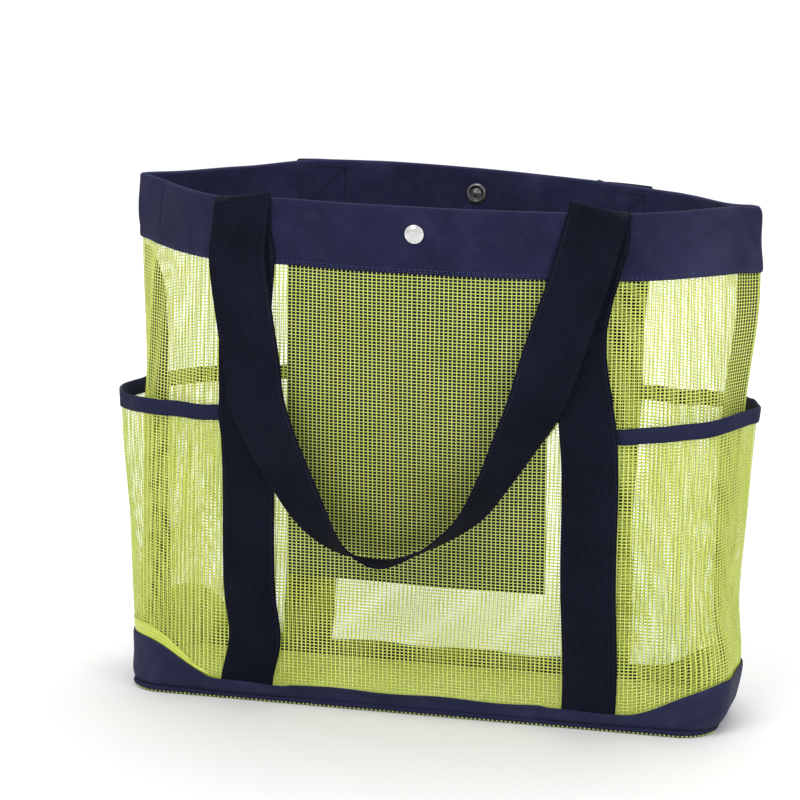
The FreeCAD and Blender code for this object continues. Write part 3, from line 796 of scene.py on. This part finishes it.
pocket_ends = {
    "left": (3 - (1 - PANEL_EDGE), 3 + (1 - PANEL_EDGE)),
    "right": (PANEL_EDGE, 2 - PANEL_EDGE),
}
for side_name, (start, end) in pocket_ends.items():
    span = (end - start) * QUARTER
    surface = wall_surface(start, end, lambda q: boot_top(q) - 5, pocket_top, gape)
    obj = net_piece(f"side_pocket_net_{side_name}", surface, span, POCKET_TOP - BOOT_FRONT, LIME)
    settle(obj, "lime_mesh", f"side_pocket_{side_name}")
    if side_name == "left":
        surface = wall_surface(start, end, lambda q: boot_top(q) - 3, hem_top, hem_gape)
        obj = cloth_piece("side_pocket_hem_left", surface, span, 12.0, 0.5, HEM, 220, 26)
        settle(obj, "lime_mesh", "side_pocket_left")
    q = np.linspace(start, end, 150)
    off, up = np.array(BINDING_SECTION).T[:, None]
    qq, up = np.broadcast_arrays(q[:, None], up + (BINDING_TOP - BINDING_HEIGHT))
    wavy = 0.5 * np.sin(qq * 31.0) + 0.35 * np.sin(qq * 53.0 + 1.0)
    up = up + wavy * 0.7 + pocket_rise(qq)
    thin = 1 - 0.5 * smooth(PANEL_EDGE + 0.10 - np.abs(folded(qq)[0]), 0, 0.05)
    places = wall(qq, up, gape(qq, up) + off * thin + 0.3)
    weave = np.stack(np.broadcast_arrays(qq * QUARTER, girth(BINDING_SECTION)[None]), -1)
    obj = profile_piece(f"side_pocket_binding_cloth_{side_name}", places, weave, TRIM)
    settle(obj, "navy_trim", f"side_pocket_binding_{side_name}")


# ---------------------------------------------------------------- top bands
def band_section():
    """The band's section: outside from the hem up, over the fold, and down inside."""
    drop = [0.0, 1.2, 3.0, 6.0, 8.0, 9.5, 12.0, 16.0, 22.0, 28.0, 34.0, 39.0, 42.0, 43.6]
    puff = [0.5, 0.95, 1.0, 0.86, 0.8, 0.9, 1.05, 1.2, 1.3, 1.3, 1.2, 1.1, 1.0, 0.85]
    outside = [(1.15 + p, d) for d, p in zip(drop, puff)]
    fold = [(1.35, 44.6), (0.75, 45.1), (0.2, 45.1), (-0.4, 44.6)]
    inside = [(-0.25 - 0.8 * p, d) for d, p in zip(drop[::-1], puff[::-1])]
    return outside + fold + inside + [(-0.1, -0.35), (1.2, -0.35)]


def creases(q, up):
    """Soft creases in the band's cloth, deeper towards its right end."""
    s = folded(q)[0]
    rise = smooth(up, 4, 14) * (1 - smooth(up, 40, 45))
    slanted = 1.0 * np.sin(40.0 * s + 0.13 * up) * smooth(s, 0.45, 0.85)
    slanted += 0.5 * np.sin(29.0 * s - 0.10 * up + 1.0)
    seam = -0.75 * bump(s, -0.80, 0.006)
    return (slanted + seam) * rise


for side_name, middle in HALVES:
    section = band_section()
    q = np.linspace(middle - 1, middle + 1, 420)
    off, up = np.array(section).T[:, None]
    qq, off, up = np.broadcast_arrays(q[:, None], off, up)
    outer = np.where(off > 0, 1.0, -0.6)
    places = wall(qq, BAND_BOTTOM + up, off + creases(qq, up) * outer)
    weave = np.stack(np.broadcast_arrays(qq * QUARTER, girth(section)[None]), -1)
    obj = profile_piece(f"{side_name}_band_cloth", places, weave, NAVY)
    settle(obj, "navy_cloth", f"{side_name}_top_band")
    thread_rows = Stitches()
    ends = middle - 0.985, middle + 0.985
    for height, offset in ((1.2, 2.0), (2.8, 2.15)):
        thread_rows.on_wall(*ends, BAND_BOTTOM + height, offset, width=0.5, height=0.35)
        thread_rows.on_wall(*ends, BAND_BOTTOM + height, -1.05 + 0.1)
    settle(thread_rows.finish(f"{side_name}_band_stitches", THREAD), "navy_cloth")


# ---------------------------------------------------------------- boots and piping
def boot_offset(q, z):
    """The boot lies over the straps' ends and the side pockets' foot, so it stands off there."""
    share = np.abs(folded(q)[0])
    strap = smooth(share, PANEL_EDGE - 0.135, PANEL_EDGE - 0.10)
    strap = strap - smooth(share, PANEL_EDGE + 0.10, PANEL_EDGE + 0.135)
    foot = smooth(share, PANEL_EDGE, PANEL_EDGE + 0.10) * smooth(z, 3, 9)
    return 1.05 + 2.9 * strap * smooth(z, 3, 8) + 1.5 * foot * (1 - strap)


for side_name, middle in HALVES:
    surface = wall_surface(middle - 1, middle + 1, 4.4, boot_top, boot_offset)
    obj = cloth_piece(f"{side_name}_boot_cloth", surface, 2 * QUARTER, 30.0, 1.1, BOOT, 360, 14)
    settle(obj, "navy_cloth", f"{side_name}_boot")
    rows = Stitches()
    rows.on_wall(middle - 0.99, middle + 0.99, lambda q: boot_top(q) - 2.6, 2.25,
                 pitch=3.4, length=2.5, width=0.55)
    settle(rows.finish(f"{side_name}_boot_stitches", DARK_THREAD), "navy_cloth")


PIPING_RADIUS = (piping_high[2] - piping_low[2]) / 2
PIPING_PLACE = 2.0
DARK_STRIP_SECTION = [(0.0, 0.2), (0.55, 0.2), (0.75, 1.2), (0.55, 2.6), (0.0, 2.6)]
TEETH_HEIGHT = 1.15


def at_foot(q, offset):
    """Points round the wall's foot."""
    return wall(q, np.full(q.shape, PIPING_PLACE), offset)


# a dark strip lies behind the row of the net's strand ends, so the gaps between them show dark
q = np.linspace(-1, 3, 480, endpoint=False)
reach = (piping_high[0] - PIPING_RADIUS - BASE_HALF_LENGTH) * 0.55
seam = np.array(DARK_STRIP_SECTION)
qq, off = np.broadcast_arrays(q[:, None], seam[None, :, 0])
places = at_foot(qq, reach - 0.4 + off)
places[..., 2] = seam[None, :, 1]
weave = np.stack(np.broadcast_arrays(qq * QUARTER, seam[None, :, 1]), -1)
obj = profile_piece("base_dark_strip_cloth", places, weave, TRIM, loop=True)
settle(obj, "navy_trim", "base_piping")
teeth = Stitches()
for start, end in ((-0.80, 0.84), (1.16, 2.80)):
    q_row = np.linspace(start, end, 200)
    path = at_foot(q_row, reach + 0.55)
    path[:, 2] = TEETH_HEIGHT
    outward = at_foot(q_row, reach + 1.55) - path
    outward[:, 2] = 0
    teeth.row(path, outward, pitch=NET_PITCH_ACROSS, length=1.5, width=1.8, height=0.7)
settle(teeth.finish("base_net_strand_ends", LIME), "lime_mesh")
angles = np.linspace(0, 2 * math.pi, 16, endpoint=False)
qq, angle = np.meshgrid(q, angles, indexing="ij")
radius = PIPING_RADIUS * (1 + 0.03 * np.sin(qq * 90))
places = at_foot(qq, reach + radius * np.cos(angle))
places[..., 2] = (piping_low[2] + PIPING_RADIUS) + radius * np.sin(angle)
weave = np.stack([qq * QUARTER, angle * PIPING_RADIUS], -1)
obj = profile_piece("base_piping_cord", places, weave, TRIM, loop=True)
settle(obj, "navy_trim", "base_piping")


# ---------------------------------------------------------------- straps
# how far the front right strap wanders sideways, by height
RIGHT_SWAY = spline([(0, -2.6), (60, -2.0), (120, -1.7), (170, -3.0), (210, -5.6), (235, -9.0),
                     (258, -13.0), (280, -14.5), (300, -12.0), (318, -8.7), (345, -6.0),
                     (360, -4.0)])
STRAP_HALF = WEBBING_WIDTH / 2 - 1.3
STRAP_FOOT = 8.0
BACK_NEARER = 11.0
WEBBING_STITCH = {"pitch": 3.2, "length": 2.4, "width": 0.5, "height": 0.3}
SIDES = (("front", -1), ("back", 1))


def strap_sway(side_name, x_sign, z):
    """How far the strap's centre line wanders sideways at each height."""
    sway = 1.2 * np.sin(z / 41.0 + x_sign) + 0.8 * np.sin(z / 23.0)
    if side_name == "front" and x_sign > 0:
        sway = sway + np.interp(z, RIGHT_SWAY[:, 0], RIGHT_SWAY[:, 1])
    if side_name == "front" and x_sign < 0:
        sway = sway + 3.4 * bump(z, 50, 20) - 2.0 * (1 - smooth(z, 12, 40))
    sway = sway + (2.4 if side_name == "front" else 0.0)
    return sway * (1 - smooth(z, 318, 345))


# how far below the mouth's edge each strap ends and turns into its handle, front and back
FOLD_DROP = {-1: 0.8, 1: 2.8}


def strap_x(side, x_sign):
    """The back's straps sit a little nearer together, where its cloth bows."""
    return x_sign * (STRAP_X - BACK_NEARER) + 1.0 if side > 0 else x_sign * STRAP_X


for side_name, side in SIDES:
    for end_name, x_sign in (("left", -1), ("right", 1)):
        strap_top = HEIGHT - FOLD_DROP[side]
        rows_z = np.linspace(STRAP_FOOT, strap_top, 130)
        centre = strap_x(side, x_sign) + strap_sway(side_name, x_sign, rows_z)
        full = smooth(rows_z, BAND_BOTTOM - 20, BAND_BOTTOM + 20)
        half = STRAP_HALF + (WEBBING_WIDTH / 2 - STRAP_HALF) * full
        q_left = q_at(centre - half, rows_z, side)
        q_right = q_at(centre + half, rows_z, side)

        def strap_surface(u, v, off, ql=q_left, qr=q_right, zs=rows_z):
            shares = np.linspace(0, 1, len(zs))
            z, left, right = (np.interp(v, shares, values) for values in (zs, ql, qr))
            rest = 1.1 + 1.25 * smooth(z, BAND_BOTTOM - 8, BAND_BOTTOM + 2)
            mouth = BINDING_TOP - 5 + pocket_rise(left)
            rest = rest + 1.1 * (1 - smooth(z, mouth, mouth + 14)) + 2.0 * bump(z, mouth, 12)
            wave = 0.5 + 0.5 * np.sin(z / 29.0)
            curl = 0.6 * np.abs(2 * u - 1) ** 3 * wave * smooth(z, 30, 60)
            return wall(left + (right - left) * u, z, rest + off + curl)

        name = f"{side_name}_strap_{end_name}"
        obj = cloth_piece(f"{name}_webbing", strap_surface, WEBBING_WIDTH, strap_top,
                          WEBBING_THICKNESS, WEBBING, 24, 130)
        settle(obj, "webbing", name)
        rows = Stitches()
        for place in (0.055, 0.945):
            v = np.linspace(0.06, 0.985, 130)
            u = np.full(v.shape, place)
            path = strap_surface(u, v, np.full(v.shape, WEBBING_THICKNESS))
            above = strap_surface(u, v, np.full(v.shape, WEBBING_THICKNESS + 1))
            rows.row(path, above - path, **WEBBING_STITCH)
        settle(rows.finish(f"{name}_stitches", DARK_THREAD), "webbing")


TACK_HALF = 16
TACK_STITCH = {"pitch": 2.8, "length": 2.1, "width": 0.7, "height": 0.5}
# box and cross tacks through the band, inside and outside, where each strap ends
for side_name, side in SIDES:
    tacks = Stitches()
    for x_sign in (-1, 1):
        x0, x1 = strap_x(side, x_sign) - TACK_HALF, strap_x(side, x_sign) + TACK_HALF
        z0, z1 = BAND_BOTTOM + 8, HEIGHT - 5
        corners = [(x0, z0), (x1, z0), (x1, z1), (x0, z1), (x0, z0), (x1, z1), (x1, z0), (x0, z1)]
        for (xa, za), (xb, zb) in zip(corners, corners[1:]):
            xs, zs = np.linspace(xa, xb, 14), np.linspace(za, zb, 14)
            qs = q_at(xs, zs, side)
            for offset, out in ((-1.35, -1), (4.05, 1)):
                path = wall(qs, zs, offset)
                tacks.row(path, (wall(qs, zs, offset + 1) - path) * out, **TACK_STITCH)
    settle(tacks.finish(f"{side_name}_strap_tacks", DARK_THREAD), "webbing")


# ---------------------------------------------------------------- end seam tapes
TAPE_WIDTH = 14.5
TAPER_LENGTH = 42
# the left tape stops short of the band and narrows there; the right one reaches into it
for side_name, q_end, sign, above_band, taper in (
    ("left", 3.0, -1, -7.0, 0.75), ("right", 1.0, 1, 2.0, 0.0),
):
    tape_top = BAND_BOTTOM + above_band

    def tape_surface(u, v, off, q_end=q_end, sign=sign, tape_top=tape_top, taper=taper):
        z = 3 + (tape_top - 3) * v
        wave = 1.3 * np.sin(z / 33.0) + 0.6 * np.sin(z / 13.0 + 1.0)
        near_top = np.clip((z - tape_top + TAPER_LENGTH) / TAPER_LENGTH, 0, 1)
        edge = wall(q_end, z, -0.5)
        x = edge[..., 0] - sign * (TAPE_WIDTH * (1 - taper * near_top ** 2.4) * u)
        y = edge[..., 1] + wave * u * 0.8 + (off - 0.6)
        return np.stack([x, y, edge[..., 2] + 0 * u], -1)

    obj = cloth_piece(f"seam_tape_cloth_{side_name}", tape_surface, TAPE_WIDTH, BAND_BOTTOM,
                      1.2, TRIM, 8, 120)
    settle(obj, "navy_trim", f"side_seam_tape_{side_name}")


# ---------------------------------------------------------------- inner pocket
POCKET_HALF = panel_high[0]
Q_POCKET = POCKET_HALF / QUARTER


def pouch(q, z):
    """The inner pocket's panel stands off its backing between its sewn edges."""
    across = np.clip(np.abs(q) / Q_POCKET, 0, 1)
    up = np.clip((z - panel_low[2]) / (slot_high[2] - panel_low[2]), 0, 1.1)
    slack = (1 - across ** 4) * smooth(up, 0.0, 0.25)
    return -2.0 - 6.6 * slack - 0.5 * np.sin(q * 37.0) * slack


for name, low, high, offset, tall, thickness, material, rows, slot in (
    ("backing", backing_low[2], BAND_BOTTOM + 2, -1.0, backing_high[2] - backing_low[2],
     0.8, POCKET, 90, "pocket_cloth"),
    ("panel", panel_low[2], panel_high[2], pouch, panel_high[2] - panel_low[2],
     0.8, POCKET, 90, "pocket_cloth"),
    ("binding", slot_low[2] - 0.5, slot_high[2], lambda q, z: pouch(q, z) - 0.4,
     slot_high[2] - slot_low[2], 1.7, TRIM, 8, "navy_trim"),
):
    surface = wall_surface(-Q_POCKET, Q_POCKET, low, high, offset)
    obj = cloth_piece(f"inner_pocket_{name}_cloth", surface, 2 * POCKET_HALF, tall,
                      thickness, material, 90, rows)
    settle(obj, slot, f"inner_pocket_{name}")


# ---------------------------------------------------------------- press snap
SNAP_HEIGHT = (cap_low[2] + cap_high[2]) / 2 - 0.4


def snap_axis(q):
    """The snap's origin on the wall and its outward direction."""
    origin = wall(q, SNAP_HEIGHT, 0.0)
    return origin, wall(q, SNAP_HEIGHT, 1.0) - origin


# the front's, and the back's, 2 mm off its middle
SNAP_AXES = snap_axis(0.0), snap_axis(2.0 - 2.0 / QUARTER)
# each part's turned outline: radius, and distance outwards along the snap's axis
SNAP_PARTS = (
    ("cap", "dome", 0, SILVER, "silver_snap",
     [(0.01, 4.75), (1.4, 4.72), (2.8, 4.55), (4.0, 4.25), (4.9, 3.85), (5.5, 3.5), (5.8, 3.42),
      (6.15, 3.45), (6.45, 3.3), (6.55, 2.95), (6.45, 2.6), (6.1, 2.3), (0.01, 2.3)]),
    ("socket", "ring", 0, GUNMETAL, "dark_snap",
     [(0.01, -1.3), (2.6, -1.3), (2.8, -2.2), (3.2, -3.2), (3.9, -3.6), (4.6, -3.3), (5.0, -2.6),
      (5.8, -2.3), (6.3, -2.0), (6.4, -1.6), (6.2, -1.2), (0.01, -1.2)]),
    ("stud", "knob", 1, GUNMETAL, "dark_snap",
     [(0.01, -5.1), (1.0, -5.05), (1.9, -4.7), (2.4, -4.1), (2.2, -3.3), (2.0, -2.5), (2.2, -1.9),
      (4.2, -1.7), (4.6, -2.0), (4.9, -2.7), (5.5, -3.0), (6.3, -2.9), (7.0, -2.4), (7.25, -1.8),
      (7.2, -1.3), (6.8, -1.15), (0.01, -1.15)]),
    ("post", "rivet", 1, GUNMETAL, "dark_snap",
     [(0.01, 3.6), (2.0, 3.58), (4.4, 3.4), (5.6, 3.1), (6.1, 2.8), (6.2, 2.5), (5.9, 2.2),
      (0.01, 2.2)]),
)
for part, shape, axis, material, slot, profile in SNAP_PARTS:
    obj = lathe(f"snap_{part}_{shape}", profile, *SNAP_AXES[axis], material)
    settle(obj, slot, f"snap_{part}")


# ---------------------------------------------------------------- handles
HANDLE_Y = 90.9
TURN_LENGTH = 70
HANDLE_BOTTOM = handle_low[2] + 9.0
# along the loop: share of the half span, share of the drop, and the turn of the webbing in degrees
HANDLE_LINE = [
    (-1.00, 1.00, 0), (-1.015, 0.92, 0), (-1.025, 0.83, 0), (-0.98, 0.68, 0), (-0.93, 0.545, 0),
    (-0.895, 0.44, 4), (-0.81, 0.34, 15), (-0.70, 0.24, 25), (-0.58, 0.14, 36), (-0.46, 0.068, 53),
    (-0.33, 0.026, 70), (-0.13, 0.004, 84), (0.09, 0.048, 82), (0.24, 0.098, 77), (0.37, 0.16, 70),
    (0.495, 0.265, 60), (0.60, 0.37, 45), (0.70, 0.475, 27), (0.77, 0.585, 10), (0.83, 0.685, 3),
    (0.905, 0.80, 0), (0.96, 0.90, 0), (1.01, 1.00, 0),
]
# how far each arm's end stands over its band's edge, front and back
FOLD_RISE = {-1: -0.4, 1: -2.9}
# each fold: its turn from the mouth's edge in degrees, how much more it arches on its right, and
# its lift
FOLD_SHAPE = {
    (-1, "left"): (10.0, 0.55, 0.5),
    (-1, "right"): (-12.5, -0.62, 2.1),
    (1, "left"): (0.0, 0.3, 0.2),
    (1, "right"): (1.0, -0.4, 1.0),
}


def edge_z(side, x):
    """The height of the band's folded top edge at that x."""
    q = q_at(x, np.full(np.shape(x), HEIGHT), side)
    return wall(q, np.full(np.shape(x), HEIGHT), 1.5)[..., 2]


def edge_turn(side, x):
    """The angle of the band's top edge at that x."""
    ends = edge_z(side, np.array([x - 15.0, x + 15.0]))
    return math.atan((ends[1] - ends[0]) / 30)


def handle_places(side, count=240):
    """Centre line, width direction and face direction of a handle's webbing."""
    points = np.array(HANDLE_LINE, float)
    left_x, right_x = strap_x(side, -1), strap_x(side, 1)
    tops = edge_z(side, np.array([left_x, right_x])) + FOLD_RISE[side]
    share = points[:, 0]
    if side > 0:
        share = np.where(points[:, 1] > 0.78, np.sign(share), share)
    x = (left_x + right_x) / 2 + share * (right_x - left_x) / 2
    top = np.where(share < 0, tops[0], tops[1])
    z = HANDLE_BOTTOM + points[:, 1] * (top - HANDLE_BOTTOM)
    # the turn goes along in thousandths, so that it adds next to nothing to the length
    knots = np.stack([x, z, points[:, 2]], 1) * (1, 1, 0.001)
    line, length = by_length(spline(knots, 1400), count)
    turn = np.radians(line[:, 2] * 1000)
    line = line[:, :2]
    tangent = unit(np.gradient(line, axis=0))
    level = np.zeros(count)
    forward = np.stack([tangent[:, 0], level, tangent[:, 1]], 1)
    flat = np.stack([-tangent[:, 1], level, tangent[:, 0]], 1)
    gone = np.linspace(0, length, count)
    for end, x_end, away in (("left", left_x, gone), ("right", right_x, length - gone)):
        first = 0 if end == "left" else -1
        wanted = edge_turn(side, x_end) + math.radians(FOLD_SHAPE[side, end][0])
        now = math.atan(flat[first, 2] / flat[first, 0])
        angle = (wanted - now) * (1 - smooth(away, 0, TURN_LENGTH))
        turned_x = flat[:, 0] * np.cos(angle) - flat[:, 2] * np.sin(angle)
        turned_z = flat[:, 0] * np.sin(angle) + flat[:, 2] * np.cos(angle)
        flat = np.stack([turned_x, level, turned_z], 1)
    outward = np.stack([level, level + side, level], 1)
    wide = flat * np.cos(turn)[:, None] + outward * np.sin(turn)[:, None]
    normal = unit(np.cross(forward, wide))
    normal *= np.sign(normal[0, 1]) * side
    lean = 7.0 * (1 - smooth(line[:, 1], HANDLE_BOTTOM, HEIGHT - 20))
    centre = np.stack([line[:, 0], side * (HANDLE_Y + lean), line[:, 1]], 1)
    return centre, wide, normal, length


HALF_SECTION = [(-0.485, 0.42), (-0.44, 0.5), (-0.3, 0.5), (-0.15, 0.5), (0, 0.5), (0.15, 0.5),
                (0.3, 0.5), (0.44, 0.5), (0.485, 0.42)]
HANDLE_SECTION = [(-0.5, 0)] + HALF_SECTION + [(0.5, 0)] + [(x, -t) for x, t in HALF_SECTION[::-1]]
section_across, section_thick = np.array(HANDLE_SECTION).T


def section_weave(lengths):
    """The webbing's weave map: across its width, with its two faces apart, and along it."""
    across = section_across * WEBBING_WIDTH + WEBBING_WIDTH / 2 + (section_thick < 0) * 50
    return np.stack(np.broadcast_arrays(across[None], lengths[:, None]), -1)


for side_name, side in SIDES:
    centre, wide, normal, length = handle_places(side)
    a = section_across[None, :, None] * WEBBING_WIDTH
    b = section_thick[None, :, None] * WEBBING_THICKNESS
    places = centre[:, None] + wide[:, None] * a + normal[:, None] * b
    weave = section_weave(np.linspace(0, length, len(centre)))
    obj = profile_piece(f"{side_name}_handle_webbing", places, weave, WEBBING)
    settle(obj, "webbing", f"{side_name}_handle", body=f"{side_name}_handle")
    rows = Stitches()
    for place in (-0.445, 0.445):
        for face in (-1, 1):
            path = centre + wide * (place * WEBBING_WIDTH)
            path = path + normal * (face * WEBBING_THICKNESS / 2)
            rows.row(path[2:-2], normal[2:-2] * face, **WEBBING_STITCH)
    stitched = rows.finish(f"{side_name}_handle_stitches", DARK_THREAD)
    settle(stitched, "webbing", body=f"{side_name}_handle")

    # the fold at the mouth: the strap's top turns over the band's edge into the handle's arm
    for end_name, index in (("left", 0), ("right", -1)):
        sign = 1 if wide[index, 0] > 0 else -1
        across = section_across * WEBBING_WIDTH
        arm = centre[index] + wide[index] * (sign * across[:, None])
        foot_height = np.full(len(arm), HEIGHT - FOLD_DROP[side] - 0.2)
        foot = wall(q_at(arm[:, 0], foot_height, side), foot_height, 2.35 + WEBBING_THICKNESS / 2)
        steps = np.linspace(0, math.pi, 31)[:, None]
        y = (foot[:, 1] + arm[:, 1]) / 2 - (arm[:, 1] - foot[:, 1]) / 2 * np.cos(steps)
        base = foot[:, 2] + (arm[:, 2] - foot[:, 2]) * (1 - np.cos(steps)) / 2
        _, more_on_right, lift = FOLD_SHAPE[side, end_name]
        share = (arm[:, 0] - centre[index, 0]) / (WEBBING_WIDTH / 2)
        arch = (0.9 + lift + 0.30 * np.abs(arm[:, 1] - foot[:, 1])) * (1 + more_on_right * share)
        z = base + arch * np.sin(steps) ** 0.8
        x = np.broadcast_to(arm[:, 0], y.shape)
        path = np.stack([x, y, z], -1)
        along = unit(np.gradient(path, axis=0))
        face = unit(np.cross(along, wide[index] * sign))
        face *= np.sign(face[15, 5, 2])
        places = path + face * (section_thick[None, :, None] * WEBBING_THICKNESS)
        weave = section_weave(lengths(path[:, 5]))
        obj = profile_piece(f"{side_name}_handle_fold_{end_name}", places, weave, WEBBING)
        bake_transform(obj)


# ---------------------------------------------------------------- stage, lights and camera
def plain(name, shaded_floor_colour, lit_back_colour, roughness):
    """Matt paint, with painted shade: the sweep's floor is painted darker than its back, graded by
    height.
    """
    n = Nodes(name)
    cloud = n.noise(n.place(), 1.5, 2.0)
    rise = n.add("ShaderNodeSeparateXYZ", {0: n.place()}).outputs[2]
    # painted shade: darker on the floor, going lighter up the sweep's back
    colour = n.mix(n.between(rise, 0.0, 0.22), shaded_floor_colour, lit_back_colour)
    colour = n.mix(n.between(cloud, 0.3, 0.7, 0.0, 0.015), colour, (0.7, 0.7, 0.7))
    return n.finish(colour, roughness)


turns = np.linspace(0, math.pi / 2, 24)
bend = [(2.4 + 1.2 * math.sin(a), 1.2 - 1.2 * math.cos(a)) for a in turns]
sweep = [(-4.0, 0.0)] + bend + [(3.6, 5.0)]
stage_points = [(x, y, z) for y, z in sweep for x in (-5.0, 5.0)]
stage_faces = [(2 * i, 2 * i + 1, 2 * i + 3, 2 * i + 2) for i in range(len(sweep) - 1)]
stage_mesh = bpy.data.meshes.new("stage_sweep")
stage_mesh.from_pydata(stage_points, [], stage_faces)
# the floor's grey is painted shade below the near-white back
stage_mesh.materials.append(plain("stage_paint", (0.745, 0.745, 0.755), (0.99, 0.99, 0.99), 0.7))
for face in stage_mesh.polygons:
    face.use_smooth = True
stage_floor = bpy.data.objects.new("stage_sweep", stage_mesh)
stage_floor.location.z = -0.0003
bpy.context.scene.collection.objects.link(stage_floor)

bpy.context.scene.view_settings.view_transform = "Standard"
world = bpy.data.worlds.new("studio")
bpy.context.scene.world = world
world.use_nodes = True
background = world.node_tree.nodes["Background"]
background.inputs[0].default_value = (1.0, 1.0, 1.0, 1)
background.inputs[1].default_value = 0.84


def soft_light(name, place, target, size, power):
    """A round area light aimed at a target."""
    data = bpy.data.lights.new(name, "AREA")
    data.shape = "DISK"
    data.size = size
    data.energy = power
    obj = bpy.data.objects.new(name, data)
    obj.location = place
    obj.rotation_euler = (Vector(target) - Vector(place)).to_track_quat("-Z", "Y").to_euler()
    bpy.context.scene.collection.objects.link(obj)


soft_light("key", (-0.7, -1.7, 2.2), (0, 0, 0.2), 1.6, 30)
soft_light("fill", (1.6, -1.2, 1.2), (0, 0, 0.2), 1.6, 13)
soft_light("back", (0.0, 1.0, 2.2), (0.0, 3.9, 0.4), 1.8, 34)
soft_light("top", (0.1, 0.5, 2.2), (0, 0, 0.2), 1.6, 15)

AZIMUTH, ELEVATION, ROLL = math.radians(12.495), math.radians(11.891), math.radians(1.312)
DISTANCE = 2.4107
TARGET = Vector((-0.0289, 0.0, 0.208))
back = Vector((
    math.sin(AZIMUTH) * math.cos(ELEVATION),
    -math.cos(AZIMUTH) * math.cos(ELEVATION),
    math.sin(ELEVATION),
))
right = Vector((math.cos(AZIMUTH), math.sin(AZIMUTH), 0))
upward = Vector((
    -math.sin(AZIMUTH) * math.sin(ELEVATION),
    math.cos(AZIMUTH) * math.sin(ELEVATION),
    math.cos(ELEVATION),
))
rolled_right = right * math.cos(ROLL) + upward * math.sin(ROLL)
rolled_up = -right * math.sin(ROLL) + upward * math.cos(ROLL)
camera_data = bpy.data.cameras.new("camera")
camera_data.sensor_width = 36
camera_data.lens = 155.376
camera_data.clip_start = 0.1
camera_data.clip_end = 50
camera = bpy.data.objects.new("camera", camera_data)
turn = Matrix((rolled_right, rolled_up, back)).transposed().to_4x4()
camera.matrix_world = Matrix.Translation(TARGET + back * DISTANCE) @ turn
bpy.context.scene.collection.objects.link(camera)
bpy.context.scene.camera = camera
